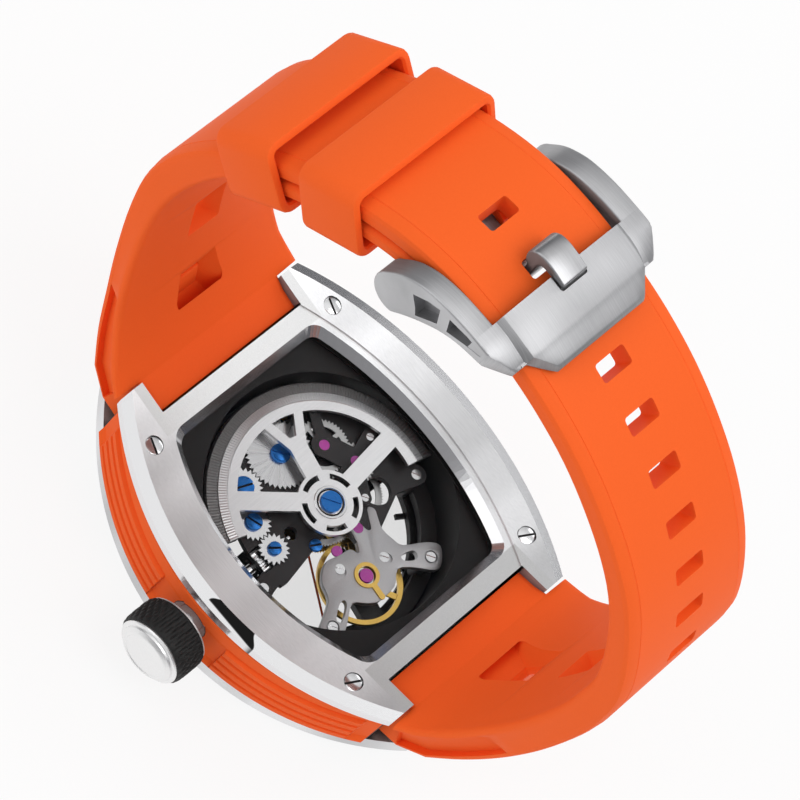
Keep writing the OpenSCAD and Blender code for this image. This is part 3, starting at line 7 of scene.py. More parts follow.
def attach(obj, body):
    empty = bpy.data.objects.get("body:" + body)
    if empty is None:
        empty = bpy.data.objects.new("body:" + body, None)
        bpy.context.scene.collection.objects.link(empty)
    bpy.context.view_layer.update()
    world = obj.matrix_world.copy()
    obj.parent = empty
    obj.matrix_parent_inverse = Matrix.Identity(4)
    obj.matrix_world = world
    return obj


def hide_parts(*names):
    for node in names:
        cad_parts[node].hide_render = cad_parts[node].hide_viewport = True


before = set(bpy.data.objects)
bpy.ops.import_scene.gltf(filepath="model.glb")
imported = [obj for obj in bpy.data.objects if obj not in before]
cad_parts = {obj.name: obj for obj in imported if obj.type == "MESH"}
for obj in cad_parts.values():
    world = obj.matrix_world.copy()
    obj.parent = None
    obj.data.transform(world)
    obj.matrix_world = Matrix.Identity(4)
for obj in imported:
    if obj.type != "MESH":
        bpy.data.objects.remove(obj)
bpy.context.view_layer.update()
scene = bpy.context.scene
scene.view_settings.view_transform = "Standard"
mm = 0.001
# points of a closed sweep nearer than this, in metres, are one point
joinDistance = 0.0000005

# Camera, from the photograph's own perspective
cameraView = {
    "place": (15.822, -252.473, 465.411),
    "right": (0.64544613, 0.6702391, 0.36630431),
    "down": (0.76288707, -0.54218238, -0.35219538),
    "forward": (-0.03745137, 0.50677196, -0.86126626),
    "focalPixels": 4719.0,
}


def addCamera(view):
    data = bpy.data.cameras.new("camera")
    camera = bpy.data.objects.new("camera", data)
    scene.collection.objects.link(camera)
    right, down, forward = Vector(view["right"]), Vector(view["down"]), Vector(view["forward"])
    turn = Matrix((right, -down, -forward)).transposed().to_4x4()
    camera.matrix_world = Matrix.Translation(Vector(view["place"]) * mm) @ turn
    data.sensor_width = 36
    data.lens = view["focalPixels"] * 36 / 800
    data.clip_start = 0.01
    data.clip_end = 20
    scene.camera = camera


addCamera(cameraView)
print("camera is in place")

# Shader nodes: an input takes another node's output, a plain value, or None to stay as it is
def feed(tree, socket, value):
    if isinstance(value, bpy.types.NodeSocket):
        tree.links.new(value, socket)
    elif value is not None:
        socket.default_value = (*value, 1) if socket.type == "RGBA" else value


def addNode(tree, kind, *values, **settings):
    node = tree.nodes.new("ShaderNode" + kind)
    for name, value in settings.items():
        setattr(node, name, value)
    for socket, value in zip(node.inputs, values):
        feed(tree, socket, value)
    return node


def mathOf(tree, operation, first, second=None):
    return addNode(tree, "Math", first, second, operation=operation).outputs[0]


def mixColours(tree, factor, first, second):
    unused = (None,) * 5
    return addNode(tree, "Mix", factor, *unused, first, second, data_type="RGBA").outputs[2]


def mixNumbers(tree, factor, first, second):
    return addNode(tree, "Mix", factor, None, first, second, data_type="FLOAT").outputs[0]


# Light: a pale world, three soft panels and a pale floor
studio = {
    "ambient": 0.62,
    "sky": [(0.05, (0.1, 0.1, 0.11)), (0.5, (0.3, 0.3, 0.31)), (0.92, (1, 1, 1))],
    "floorSize": 8, "floorDrop": 0.3, "floorColour": (0.9, 0.9, 0.9), "floorGlow": 0.86,
    "aim": (0, 0, 0.035),
    "panels": [
        # name, place in metres, size, watts
        ("keyPanel", (0.25, 0.10, 0.62), 0.45, 1.35),
        ("fillPanel", (-0.45, -0.45, 0.45), 0.5, 0.9),
        ("rimPanel", (0.1, 0.6, 0.35), 0.35, 0.6),
    ],
}


def addPanel(name, place, size, watts):
    data = bpy.data.lights.new(name, "AREA")
    data.shape = "SQUARE"
    data.size = size
    data.energy = watts
    lamp = bpy.data.objects.new(name, data)
    scene.collection.objects.link(lamp)
    lamp.location = place
    aim = Vector(studio["aim"]) - Vector(place)
    lamp.rotation_euler = aim.to_track_quat("-Z", "Y").to_euler()


def seenDirectly(tree):
    path = addNode(tree, "LightPath").outputs
    first = mathOf(tree, "MAXIMUM", path["Is Camera Ray"], path["Is Glossy Ray"])
    return mathOf(tree, "MAXIMUM", first, path["Is Transmission Ray"])


def buildWorld():
    world = bpy.data.worlds.new("studioWorld")
    scene.world = world
    world.use_nodes = True
    tree = world.node_tree
    tree.nodes.clear()
    height = addNode(tree, "SeparateXYZ", addNode(tree, "TexCoord").outputs["Generated"]).outputs["Z"]
    ramp = addNode(tree, "ValToRGB", height)
    stops = ramp.color_ramp.elements
    stops.new(studio["sky"][1][0])
    for stop, (place, colour) in zip(stops, studio["sky"]):
        stop.position = place
        stop.color = (*colour, 1)
    shown = addNode(tree, "Background", ramp.outputs["Color"], 1.0)
    soft = addNode(tree, "Background", (1, 1, 1), studio["ambient"])
    mix = addNode(tree, "MixShader", seenDirectly(tree), soft.outputs[0], shown.outputs[0])
    addNode(tree, "OutputWorld", mix.outputs[0])


def buildFloor():
    bpy.ops.object.select_all(action="DESELECT")
    bpy.ops.mesh.primitive_plane_add(size=studio["floorSize"], location=(0, 0, -studio["floorDrop"] * mm))
    floor = bpy.context.object
    floor.name = "floor"
    bpy.ops.object.transform_apply(location=True, rotation=True, scale=True)
    material = bpy.data.materials.new("paleFloor")
    material.use_nodes = True
    tree = material.node_tree
    tree.nodes.clear()
    matte = addNode(tree, "BsdfDiffuse", studio["floorColour"])
    glow = addNode(tree, "Emission", (1, 1, 1))
    share = mathOf(tree, "MULTIPLY", seenDirectly(tree), studio["floorGlow"])
    mix = addNode(tree, "MixShader", share, matte.outputs[0], glow.outputs[0])
    addNode(tree, "OutputMaterial", mix.outputs[0])
    floor.data.materials.append(material)


buildWorld()
for panel in studio["panels"]:
    addPanel(*panel)
buildFloor()
print("studio is lit")


# Effects that several materials share
def newGroup(name, inputs, outputs):
    group = bpy.data.node_groups.new(name, "ShaderNodeTree")
    for label, kind, value in inputs:
        socket = group.interface.new_socket(name=label, in_out="INPUT", socket_type=kind)
        socket.default_value = value
    for label, kind in outputs:
        group.interface.new_socket(name=label, in_out="OUTPUT", socket_type=kind)
    return group, group.nodes.new("NodeGroupInput"), group.nodes.new("NodeGroupOutput")


def addNoise(group, place, detail, result):
    noise = addNode(group, "TexNoise", place)
    feed(group, noise.inputs["Scale"], 1.0)
    feed(group, noise.inputs["Detail"], detail)
    feed(group, result.inputs["Grain"], noise.outputs["Fac"])


def buildGrainGroup():
    group, given, result = newGroup(
        "surfaceGrain",
        [("Stretch", "NodeSocketVector", (1000, 1000, 1000)), ("Detail", "NodeSocketFloat", 3.0)],
        [("Grain", "NodeSocketFloat")])
    coords = addNode(group, "TexCoord").outputs["Object"]
    scaled = addNode(group, "VectorMath", coords, given.outputs["Stretch"], operation="MULTIPLY")
    addNoise(group, scaled.outputs[0], given.outputs["Detail"], result)
    return group


def buildTurnedGroup():
    group, given, result = newGroup(
        "turnedGrain",
        [("Centre", "NodeSocketVector", (0, 0, 0)), ("Rays", "NodeSocketFloat", 60.0),
         ("Rings", "NodeSocketFloat", 0.0)],
        [("Grain", "NodeSocketFloat")])
    coords = addNode(group, "TexCoord").outputs["Object"]
    away = addNode(group, "VectorMath", coords, given.outputs["Centre"], operation="SUBTRACT").outputs[0]
    parts = addNode(group, "SeparateXYZ", away).outputs
    angle = mathOf(group, "ARCTAN2", parts["Y"], parts["X"])
    reach = addNode(group, "VectorMath", away, operation="LENGTH").outputs["Value"]
    rays = mathOf(group, "MULTIPLY", angle, given.outputs["Rays"])
    rings = mathOf(group, "MULTIPLY", reach, given.outputs["Rings"])
    addNoise(group, addNode(group, "CombineXYZ", rays, rings).outputs[0], 3.0, result)
    return group


grainGroup = buildGrainGroup()
turnedGroup = buildTurnedGroup()

# Finishes: colours are linear, stretch is grains per metre along x, y and z
finishes = {
    "rubberOrange": {"colour": (1.0, 0.142, 0.022), "dark": (0.95, 0.126, 0.018), "rough": (0.54, 0.64),
                     "stretch": (5000, 5000, 5000), "bump": 0.02, "specular": 0.12},
    "rubberBlack": {"colour": (0.012, 0.012, 0.012), "dark": (0.006, 0.006, 0.006), "rough": (0.5, 0.62),
                    "stretch": (5000, 5000, 5000), "bump": 0.06, "specular": 0.35},
    "steelAlongX": {"colour": (0.84, 0.84, 0.85), "dark": (0.55, 0.55, 0.56), "rough": (0.26, 0.38),
                    "stretch": (90, 16000, 16000), "bump": 0.08, "metal": 1.0, "bands": (110, 8, 8)},
    "steelAlongY": {"colour": (0.6, 0.6, 0.61), "dark": (0.38, 0.38, 0.39), "rough": (0.42, 0.54),
                    "stretch": (300, 14000, 300), "bump": 0.12, "metal": 1.0, "bands": (90, 60, 90)},
    "steelPolished": {"colour": (0.8, 0.8, 0.81), "dark": (0.72, 0.72, 0.73), "rough": (0.12, 0.18),
                      "stretch": (900, 900, 900), "bump": 0.01, "metal": 1.0},
    "steelBlasted": {"colour": (0.94, 0.94, 0.94), "dark": (0.82, 0.82, 0.82), "rough": (0.36, 0.46),
                     "stretch": (9000, 9000, 9000), "bump": 0.2, "metal": 1.0},
    "coatBlack": {"colour": (0.018, 0.018, 0.019), "dark": (0.01, 0.01, 0.01), "rough": (0.4, 0.55),
                  "stretch": (3000, 3000, 3000), "bump": 0.03, "specular": 0.18},
    "bridgeBlack": {"colour": (0.05, 0.05, 0.052), "dark": (0.014, 0.014, 0.015), "rough": (0.36, 0.48),
                    "stretch": (7500, 200, 7500), "bump": 0.14, "metal": 0.35, "specular": 0.3},
    "bridgeGrey": {"colour": (0.5, 0.5, 0.51), "dark": (0.36, 0.36, 0.37), "rough": (0.4, 0.5),
                   "stretch": (9000, 9000, 9000), "bump": 0.2, "metal": 0.85},
    "rotorSteel": {"colour": (0.84, 0.84, 0.85), "dark": (0.66, 0.66, 0.67), "rough": (0.3, 0.42),
                   "stretch": (9000, 300, 9000), "bump": 0.08, "metal": 1.0},
    "weightDark": {"colour": (0.3, 0.3, 0.3), "dark": (0.09, 0.09, 0.09), "rough": (0.36, 0.5),
                   "rays": (160, 300), "bump": 0.2, "metal": 0.9},
    "blueSteel": {"colour": (0.02, 0.16, 0.5), "dark": (0.017, 0.14, 0.45), "rough": (0.26, 0.3),
                  "stretch": (2500, 2500, 2500), "bump": 0.0, "metal": 0.75},
    "gilt": {"colour": (0.75, 0.5, 0.14), "dark": (0.6, 0.38, 0.09), "rough": (0.25, 0.35),
             "stretch": (6000, 6000, 6000), "bump": 0.05, "metal": 1.0},
    "ruby": {"colour": (0.5, 0.04, 0.45), "dark": (0.4, 0.03, 0.36), "rough": (0.08, 0.12),
             "stretch": (800, 800, 800), "bump": 0.0, "specular": 0.8},
    "handWhite": {"colour": (0.8, 0.8, 0.78), "dark": (0.74, 0.74, 0.72), "rough": (0.35, 0.42),
                  "stretch": (3000, 3000, 3000), "bump": 0.02},
    "wheelSteel": {"colour": (0.5, 0.5, 0.5), "dark": (0.38, 0.38, 0.38), "rough": (0.3, 0.4),
                   "stretch": (6000, 6000, 6000), "bump": 0.05, "metal": 1.0},
    "springBlue": {"colour": (0.05, 0.1, 0.2), "dark": (0.03, 0.06, 0.13), "rough": (0.28, 0.36),
                   "stretch": (3000, 3000, 3000), "bump": 0.02, "metal": 0.9},
    # the ratchet wheel shines in rays from its own middle
    "sunburst": {"colour": (0.8, 0.8, 0.81), "dark": (0.42, 0.42, 0.43), "rough": (0.22, 0.34),
                 "rays": (7, 0), "centre": (-7.75, 0, 0), "bump": 0.1, "metal": 1.0},
    "handOrange": {"colour": (0.9, 0.13, 0.03), "dark": (0.8, 0.11, 0.025), "rough": (0.3, 0.36),
                   "stretch": (3000, 3000, 3000), "bump": 0.01},
    "steelTang": {"colour": (0.56, 0.56, 0.57), "dark": (0.36, 0.36, 0.37), "rough": (0.3, 0.42),
                  "stretch": (300, 8000, 300), "bump": 0.12, "metal": 1.0},
}
materials = {}
bumpDepth = 0.00005
bandRange = {"from": (0.35, 0.65), "to": (0.76, 1.14)}
# rubber shows in the steel as a soft grey, as it does in the photograph
mirrored = {"share": 0.85, "colour": (0.3, 0.28, 0.27)}


def grainNode(tree, finish):
    if "rays" in finish:
        node = addNode(tree, "Group", node_tree=turnedGroup)
        node.inputs["Centre"].default_value = [v * mm for v in finish.get("centre", (0, 0, 0))]
        node.inputs["Rays"].default_value = finish["rays"][0]
        node.inputs["Rings"].default_value = finish["rays"][1]
    else:
        node = addNode(tree, "Group", node_tree=grainGroup)
        node.inputs["Stretch"].default_value = finish["stretch"]
    return node.outputs[0]


def addBands(tree, colour, stretch):
    wave = addNode(tree, "Group", node_tree=grainGroup)
    wave.inputs["Stretch"].default_value = stretch
    wave.inputs["Detail"].default_value = 1.0
    level = addNode(tree, "MapRange", wave.outputs[0], *bandRange["from"], *bandRange["to"]).outputs[0]
    return addNode(tree, "VectorMath", colour, None, None, level, operation="SCALE").outputs[0]


def greyInMirrors(tree, colour):
    glossy = addNode(tree, "LightPath").outputs["Is Glossy Ray"]
    return mixColours(tree, mathOf(tree, "MULTIPLY", glossy, mirrored["share"]), colour, mirrored["colour"])


def addBump(tree, shader, height, strength):
    bump = addNode(tree, "Bump")
    bump.inputs["Strength"].default_value = strength
    bump.inputs["Distance"].default_value = bumpDepth
    feed(tree, bump.inputs["Height"], height)
    feed(tree, shader.inputs["Normal"], bump.outputs[0])


def newMaterial(name):
    material = bpy.data.materials.new(name)
    material.use_nodes = True
    materials[name] = material
    return material.node_tree, material.node_tree.nodes["Principled BSDF"]


def buildMaterial(name, finish):
    tree, shader = newMaterial(name)
    grain = grainNode(tree, finish)
    colour = mixColours(tree, grain, finish["dark"], finish["colour"])
    if "bands" in finish:
        colour = addBands(tree, colour, finish["bands"])
    if name == "rubberOrange":
        colour = greyInMirrors(tree, colour)
    feed(tree, shader.inputs["Base Color"], colour)
    rough = addNode(tree, "MapRange", grain, None, None, *finish["rough"])
    feed(tree, shader.inputs["Roughness"], rough.outputs[0])
    if finish["bump"] > 0:
        addBump(tree, shader, grain, finish["bump"])
    shader.inputs["Metallic"].default_value = finish.get("metal", 0.0)
    shader.inputs["Specular IOR Level"].default_value = finish.get("specular", 0.5)


for name, finish in finishes.items():
    buildMaterial(name, finish)

crystal = {"stretch": (60, 60, 60), "dark": (0.006, 0.008, 0.01), "colour": (0.01, 0.012, 0.015),
           "rough": 0.03, "alpha": 0.05, "specular": 0.3}


def buildCrystal():
    tree, shader = newMaterial("crystalClear")
    tint = mixColours(tree, grainNode(tree, crystal), crystal["dark"], crystal["colour"])
    feed(tree, shader.inputs["Base Color"], tint)
    shader.inputs["Roughness"].default_value = crystal["rough"]
    shader.inputs["Alpha"].default_value = crystal["alpha"]
    shader.inputs["Specular IOR Level"].default_value = crystal["specular"]


buildCrystal()

# The back cover: brushed strips, blasted crossbars, polished slopes, one dark reflection by the crown
coverFinish = {
    "slopeLimit": 0.975, "slopeSoft": 0.006, "crossbarX": 0.01655, "crossbarY": 0.0123, "edgeSoft": 0.00008,
    "brushed": ((0.6, 0.6, 0.61), (0.86, 0.86, 0.87)), "blasted": ((0.5, 0.5, 0.5), (0.7, 0.7, 0.7)),
    "polished": (0.78, 0.78, 0.79), "dark": (0.012, 0.012, 0.012),
    "flatRough": 0.34, "slopeRough": 0.16, "bump": 0.12, "flatHeight": 0.5,
    # darkMiddle, darkHalf, darkInner and darkOuter place a painted dark reflection on the slope by the crown,
    # in the colour dark
    "darkMiddle": 0.0035, "darkHalf": 0.0024, "darkInner": -0.0188, "darkOuter": -0.0204,
    # the painted dark reflection is this much longer at the case's edge than at the strip
    "darkWiden": (0.0189, 0.0204, 0.0, 0.0012),
}


def isAbove(tree, value, limit, soft):
    return addNode(tree, "MapRange", value, limit - soft, limit + soft, 0.0, 1.0,
                   interpolation_type="SMOOTHSTEP").outputs[0]


def isBelow(tree, value, limit, soft):
    return addNode(tree, "MapRange", value, limit - soft, limit + soft, 1.0, 0.0,
                   interpolation_type="SMOOTHSTEP").outputs[0]


def buildCoverMaterial():
    tree, shader = newMaterial("coverSteel")
    soft = coverFinish["edgeSoft"]
    coords = addNode(tree, "TexCoord").outputs
    place = addNode(tree, "SeparateXYZ", coords["Object"]).outputs
    facing = addNode(tree, "SeparateXYZ", coords["Normal"]).outputs["Z"]
    lengthX = mathOf(tree, "ABSOLUTE", place["X"])
    widthY = mathOf(tree, "ABSOLUTE", place["Y"])
    slope = isBelow(tree, facing, coverFinish["slopeLimit"], coverFinish["slopeSoft"])
    crossbar = mathOf(tree, "MULTIPLY", isAbove(tree, lengthX, coverFinish["crossbarX"], soft),
                      isBelow(tree, widthY, coverFinish["crossbarY"], soft))
    brushed = grainNode(tree, finishes["steelAlongX"])
    blasted = grainNode(tree, finishes["steelBlasted"])
    colour = addBands(tree, mixColours(tree, brushed, *coverFinish["brushed"]),
                      finishes["steelAlongX"]["bands"])
    colour = mixColours(tree, crossbar, colour, mixColours(tree, blasted, *coverFinish["blasted"]))
    colour = mixColours(tree, slope, colour, coverFinish["polished"])
    # a painted dark reflection on the polished slope by the crown, longer towards the case's edge
    widen = addNode(tree, "MapRange", widthY, *coverFinish["darkWiden"],
                    interpolation_type="SMOOTHERSTEP").outputs[0]
    away = mathOf(tree, "ABSOLUTE", mathOf(tree, "SUBTRACT", place["X"], coverFinish["darkMiddle"]))
    reach = mathOf(tree, "SUBTRACT", away, widen)
    dark = mathOf(tree, "MULTIPLY", isBelow(tree, reach, coverFinish["darkHalf"], soft),
                  isBelow(tree, place["Y"], coverFinish["darkInner"], soft))
    dark = mathOf(tree, "MULTIPLY", dark, isAbove(tree, place["Y"], coverFinish["darkOuter"], soft))
    dark = mathOf(tree, "MULTIPLY", dark, slope)
    feed(tree, shader.inputs["Base Color"], mixColours(tree, dark, colour, coverFinish["dark"]))
    feed(tree, shader.inputs["Roughness"],
         mixNumbers(tree, slope, coverFinish["flatRough"], coverFinish["slopeRough"]))
    height = mixNumbers(tree, crossbar, brushed, blasted)
    addBump(tree, shader, mixNumbers(tree, slope, height, coverFinish["flatHeight"]), coverFinish["bump"])
    shader.inputs["Metallic"].default_value = 1.0


buildCoverMaterial()
print("materials are built:", len(materials))

nodeFinish = {
    "coverSteel": ["back_cover"],
    "steelAlongX": ["front_bezel"],
    "steelAlongY": ["buckle_frame", "buckle_tang"],
    "steelPolished": ["crown_tube", "lug_bars", "buckle_bar", "bridge_screws", "winding_stem",
                      "winding_pinion", "sliding_clutch", "crown_wheel", "winding_idler_a",
                      "winding_idler_b", "reverser_pinion", "escape_wheel", "pallet_fork",
                      "cannon_pinion", "back_screws"],
    "steelBlasted": ["crown_cap"],
    "crystalClear": ["front_crystal", "back_crystal"],
    "coatBlack": ["chapter_ring", "case_middle", "movement_holder"],
    "rubberBlack": ["crystal_gaskets", "crown_grip"],
    "rubberOrange": ["case_bands", "strap_long", "strap_short", "keeper_fixed", "keeper_free"],
    "bridgeBlack": ["mainplate", "barrel_bridge", "train_bridge", "auto_bridge"],
    "bridgeGrey": ["balance_bridge"],
    "rotorSteel": ["rotor_plate"],
    "weightDark": ["rotor_weight"],
    "ruby": ["jewels"],
    "blueSteel": ["blue_screws", "rotor_post", "barrel_arbor"],
    "gilt": ["regulator", "barrel", "centre_wheel", "balance_wheel", "minute_wheel", "hour_wheel"],
    "wheelSteel": ["reduction_wheel", "rotor_idler", "reverser_wheel", "third_wheel", "fourth_wheel"],
    "springBlue": ["mainspring", "hairspring"],
    "handWhite": ["hour_hand", "minute_hand"],
    "sunburst": ["ratchet_wheel"],
    "handOrange": ["second_hand"],
}


def dressNode(node, material):
    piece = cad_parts[node]
    if not piece.material_slots:
        piece.data.materials.append(material)
    for slot in piece.material_slots:
        slot.material = material


for finish, names in nodeFinish.items():
    for node in names:
        dressNode(node, materials[finish])

print("carried-over nodes are dressed")


# Modelling helpers
def pickOnly(piece):
    bpy.ops.object.select_all(action="DESELECT")
    piece.select_set(True)
    bpy.context.view_layer.objects.active = piece


def sweepRings(name, rings, closed=False):
    if closed:
        rings = rings + [rings[0]]
    bpy.ops.object.select_all(action="DESELECT")
    bpy.ops.mesh.primitive_circle_add(vertices=len(rings[0]), radius=0.01,
                                      fill_type="NOTHING" if closed else "NGON")
    piece = bpy.context.object
    piece.name = name
    bpy.ops.object.mode_set(mode="EDIT")
    mesh = bmesh.from_edit_mesh(piece.data)
    order = mesh.verts.layers.int.new("order")
    for index, vert in enumerate(mesh.verts):
        vert[order] = index
        vert.co = Vector(rings[0][index]) * mm
    bmesh.update_edit_mesh(piece.data)
    for ring in rings[1:]:
        bpy.ops.mesh.extrude_region_move()
        mesh = bmesh.from_edit_mesh(piece.data)
        order = mesh.verts.layers.int["order"]
        for vert in mesh.verts:
            if vert.select:
                vert.co = Vector(ring[vert[order]]) * mm
    bmesh.update_edit_mesh(piece.data)
    if closed:
        bpy.ops.mesh.select_all(action="SELECT")
        bpy.ops.mesh.remove_doubles(threshold=joinDistance)
    bpy.ops.mesh.select_all(action="SELECT")
    bpy.ops.mesh.normals_make_consistent(inside=False)
    # a hollow shape can come out of that operator inside out
    if bmesh.from_edit_mesh(piece.data).calc_volume(signed=True) < 0:
        bpy.ops.mesh.flip_normals()
    bpy.ops.object.mode_set(mode="OBJECT")
    return piece


def circlePoints(place, radius, count=32):
    return [(place[0] + radius * cos(2 * pi * k / count), place[1] + radius * sin(2 * pi * k / count))
            for k in range(count)]


def roundBox(name, size, edge, steps=3):
    bpy.ops.object.select_all(action="DESELECT")
    bpy.ops.mesh.primitive_cube_add(size=1)
    piece = bpy.context.object
    piece.name = name
    bpy.ops.object.mode_set(mode="EDIT")
    bpy.ops.mesh.select_all(action="SELECT")
    bpy.ops.transform.resize(value=tuple(v * mm for v in size))
    bpy.ops.mesh.bevel(offset=edge * mm, segments=steps, affect="EDGES", clamp_overlap=True)
    bpy.ops.object.mode_set(mode="OBJECT")
    return piece


def placePiece(piece, place, tiltY):
    piece.matrix_world = Matrix.Translation(Vector(place) * mm) @ Matrix.Rotation(radians(tiltY), 4, "Y")
    pickOnly(piece)
    bpy.ops.object.transform_apply(location=True, rotation=True, scale=True)


def joinPieces(pieces):
    bpy.ops.object.select_all(action="DESELECT")
    for piece in pieces:
        piece.select_set(True)
    bpy.context.view_layer.objects.active = pieces[0]
    if len(pieces) > 1:
        bpy.ops.object.join()
    return bpy.context.view_layer.objects.active


def cutAway(piece, cutters, operation="DIFFERENCE"):
    cutter = joinPieces(cutters)
    modifier = piece.modifiers.new("cut", "BOOLEAN")
    modifier.operation = operation
    modifier.solver = "EXACT"
    modifier.object = cutter
    pickOnly(piece)
    bpy.ops.object.modifier_apply(modifier="cut")
    bpy.data.objects.remove(cutter)


def finishPiece(piece, finish, body, nodes, angle=32):
    pickOnly(piece)
    bpy.ops.object.shade_smooth_by_angle(angle=radians(angle))
    piece.data.materials.clear()
    piece.data.materials.append(materials[finish])
    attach(piece, body)
    if nodes:
        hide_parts(*nodes)
    return piece


def smoothCurve(points, steps):
    result = []
    for i in range(len(points) - 1):
        a, b = points[max(i - 1, 0)], points[i]
        c, d = points[i + 1], points[min(i + 2, len(points) - 1)]
        for k in range(steps):
            t = k / steps
            result.append([0.5 * (2 * q + (r - p) * t + (2 * p - 5 * q + 4 * r - s) * t * t
                                  + (3 * q - p - 3 * r + s) * t ** 3) for p, q, r, s in zip(a, b, c, d)])
    result.append(list(points[-1]))
    return result


def curveNormal(points, i):
    a, b = points[max(i - 1, 0)], points[min(i + 1, len(points) - 1)]
    d = Vector((b[0] - a[0], b[1] - a[1]))
    return Vector((-d[1], d[0])) / d.length


def placeBack(points, distance):
    left = distance
    for i in range(len(points) - 2, -1, -1):
        a, b = Vector(points[i][:2]), Vector(points[i + 1][:2])
        span = (b - a).length
        if span >= left:
            return b + (a - b) * (left / span), curveNormal(points, i)
        left -= span
    return a, curveNormal(points, 0)


# Strap
strap = {
    # outer face as x, z and thickness, walked over the top towards -X
    "longRoute": [(28.2, 9.6, 5.2), (31, 15.5, 5.2), (33.4, 22, 4.9), (35.2, 29, 4.4), (36.4, 37, 4.1),
                  (36.5, 42, 4), (35.8, 47.5, 3.7), (33.3, 53.4, 3.4), (29.7, 59, 3.1), (25.2, 63.7, 3),
                  (20, 67.6, 2.9), (14.5, 70.7, 2.8), (8.7, 72.9, 2.8), (3, 74.2, 2.8), (-3, 74.9, 2.8),
                  (-9.2, 74.5, 2.7), (-15, 72.7, 2.5), (-21, 69.4, 2.4), (-26, 65.5, 2.3), (-31, 60.6, 2.2)],
    "shortRoute": [(-32.8, 57.2, 3.5), (-34.6, 54.6, 3.8), (-36.6, 49.6, 4.1), (-37.5, 43.6, 4),
                   (-36.8, 37, 3.6), (-34.9, 29, 3.5), (-32.8, 22, 3.8), (-30.7, 15.5, 4.4), (-28.2, 9.6, 5)],
    "edge": [(0, 11.4), (9, 11.4), (32, 10.5), (50, 9.7), (60, 9.3), (90, 9.3)],
    # how far the lip on the wrist side stands out past the edge, by height
    "lip": [(0, 3.1), (14.8, 3.1), (16.4, 2.6), (18.5, 1.9), (22, 1.3), (28, 0.8), (36, 0.35), (46, 0),
            (90, 0)],
    # the outer face's edge strip, as offset from the edge and depth
    "edgeStrip": [(-2.4, 0), (-1.72, 0), (-1.66, 0.07), (-1.6, 0.03), (-0.6, 0.16), (-0.2, 0.36),
                  (0, 0.75)],
    "pocket": 0.85, "pocketTop": 23.5,
    # vents: height on the strap, length and width of the mouth on the wrist's side
    "longVents": [(19, 8.5, 5.6), (31.5, 6, 4.6)], "shortVents": [(19, 8.5, 5.6), (30, 6, 4.6)],
    "ventWindow": (3.3, 3.2), "ventDepth": 1.6, "ventWall": 0.35, "ventOver": 1.0, "ventShift": 1.5,
    "ventOut": (1.5, 2.1, 4),
    "filletFoot": (24.8, 16.4), "filletKnee": (27, 18.8), "filletIndex": 8,
    "tongueGap": 0.15, "tongueThick": 2.1, "tailFirst": 15,
    "barX": -9.8, "barZ": 69.4, "tangSlot": (7.4, 4.3, 8),
    "holeBack": 32.4, "holePitch": 6.3, "holeCount": 10, "hole": (2.2, 4.2, 0.35),
}
longCurve = smoothCurve(strap["longRoute"], 4)
shortCurve = smoothCurve(strap["shortRoute"], 4)


def readRows(rows, z):
    for (z0, w0), (z1, w1) in zip(rows, rows[1:]):
        if z <= z1:
            return w0 + (w1 - w0) * (z - z0) / (z1 - z0)
    return rows[-1][1]


def halfWidth(z):
    return readRows(strap["edge"], z)


def strapRing(outer, inner, pocket=0.0, lipShare=1.0):
    # across the strap: crowned edge strips on the outer face, a side pocket and a lip near the case
    outer, inner = Vector(outer), Vector(inner)
    thick = (inner - outer).length
    way = (inner - outer) / thick
    half = []
    lip = min(0.9, thick * 0.35)
    for dy, depth in strap["edgeStrip"]:
        half.append((dy, min(depth, thick * 0.3)))
    out = readRows(strap["lip"], inner[1]) * lipShare
    half += [(0, lip + 0.02), (-pocket, lip + 0.12), (out * 0.7 - pocket, thick - lip - 0.35),
             (out - 0.05, thick - lip), (out, thick - 0.6), (out - 0.1, thick - 0.3),
             (out - 0.35, thick - 0.08), (out - 0.8, thick)]
    points = []
    for side in (1, -1):
        rows = half if side == 1 else list(reversed(half))
        for dy, depth in rows:
            at = outer + way * depth
            points.append((at[0], side * (halfWidth(at[1]) + dy), at[1]))
    return points


def pairs(curve, extra=0.0):
    result = []
    for i, (x, z, thick) in enumerate(curve):
        inner = Vector((x, z)) + curveNormal(curve, i) * (thick + extra)
        result.append(((x, z), tuple(inner)))
    return result


def filletPairs(curve, side):
    # the wrist side runs in a fillet from the case's end to the strap's own curve
    rows = pairs(curve)
    if side < 0:
        rows.reverse()
    last = strap["filletIndex"]
    foot = Vector((side * strap["filletFoot"][0], strap["filletFoot"][1]))
    knee = Vector((side * strap["filletKnee"][0], strap["filletKnee"][1]))
    end = Vector(rows[last][1])
    for k in range(last):
        t = k / last
        at = foot * (1 - t) ** 2 + knee * 2 * t * (1 - t) + end * t * t
        rows[k] = (rows[k][0], tuple(at))
    return rows


def endStations(side):
    # between the case's wings there is no room for the lip
    return [(((side * 19.3, 4.8), (side * 19.3, 13.3)), 0),
            (((side * 22.3, 5.5), (side * 21.5, 13.9)), 0),
            (((side * 25.0, 6.2), (side * 23.05, 14.82)), 0),
            (((side * 25.1, 6.25), (side * 23.15, 14.88)), 1)]


def strapHoles():
    cutters = []
    length, width, corner = strap["hole"]
    for k in range(strap["holeCount"]):
        place, normal = placeBack(longCurve, strap["holeBack"] + (k - 1) * strap["holePitch"])
        cutter = roundBox("hole", (length, width, 9), corner)
        placePiece(cutter, (place[0], 0, place[1]), 90 - degrees(atan2(normal[1], normal[0])))
        cutters.append(cutter)
    return cutters


def taperedBox(name, size, end, shift):
    # a box whose far end has another size and place than its near end
    box = roundBox(name, size, 0.3)
    for vert in box.data.vertices:
        if vert.co.z < 0:
            vert.co.x = vert.co.x * end[0] / size[0] + shift * mm
            vert.co.y *= end[1] / size[1]
    return box


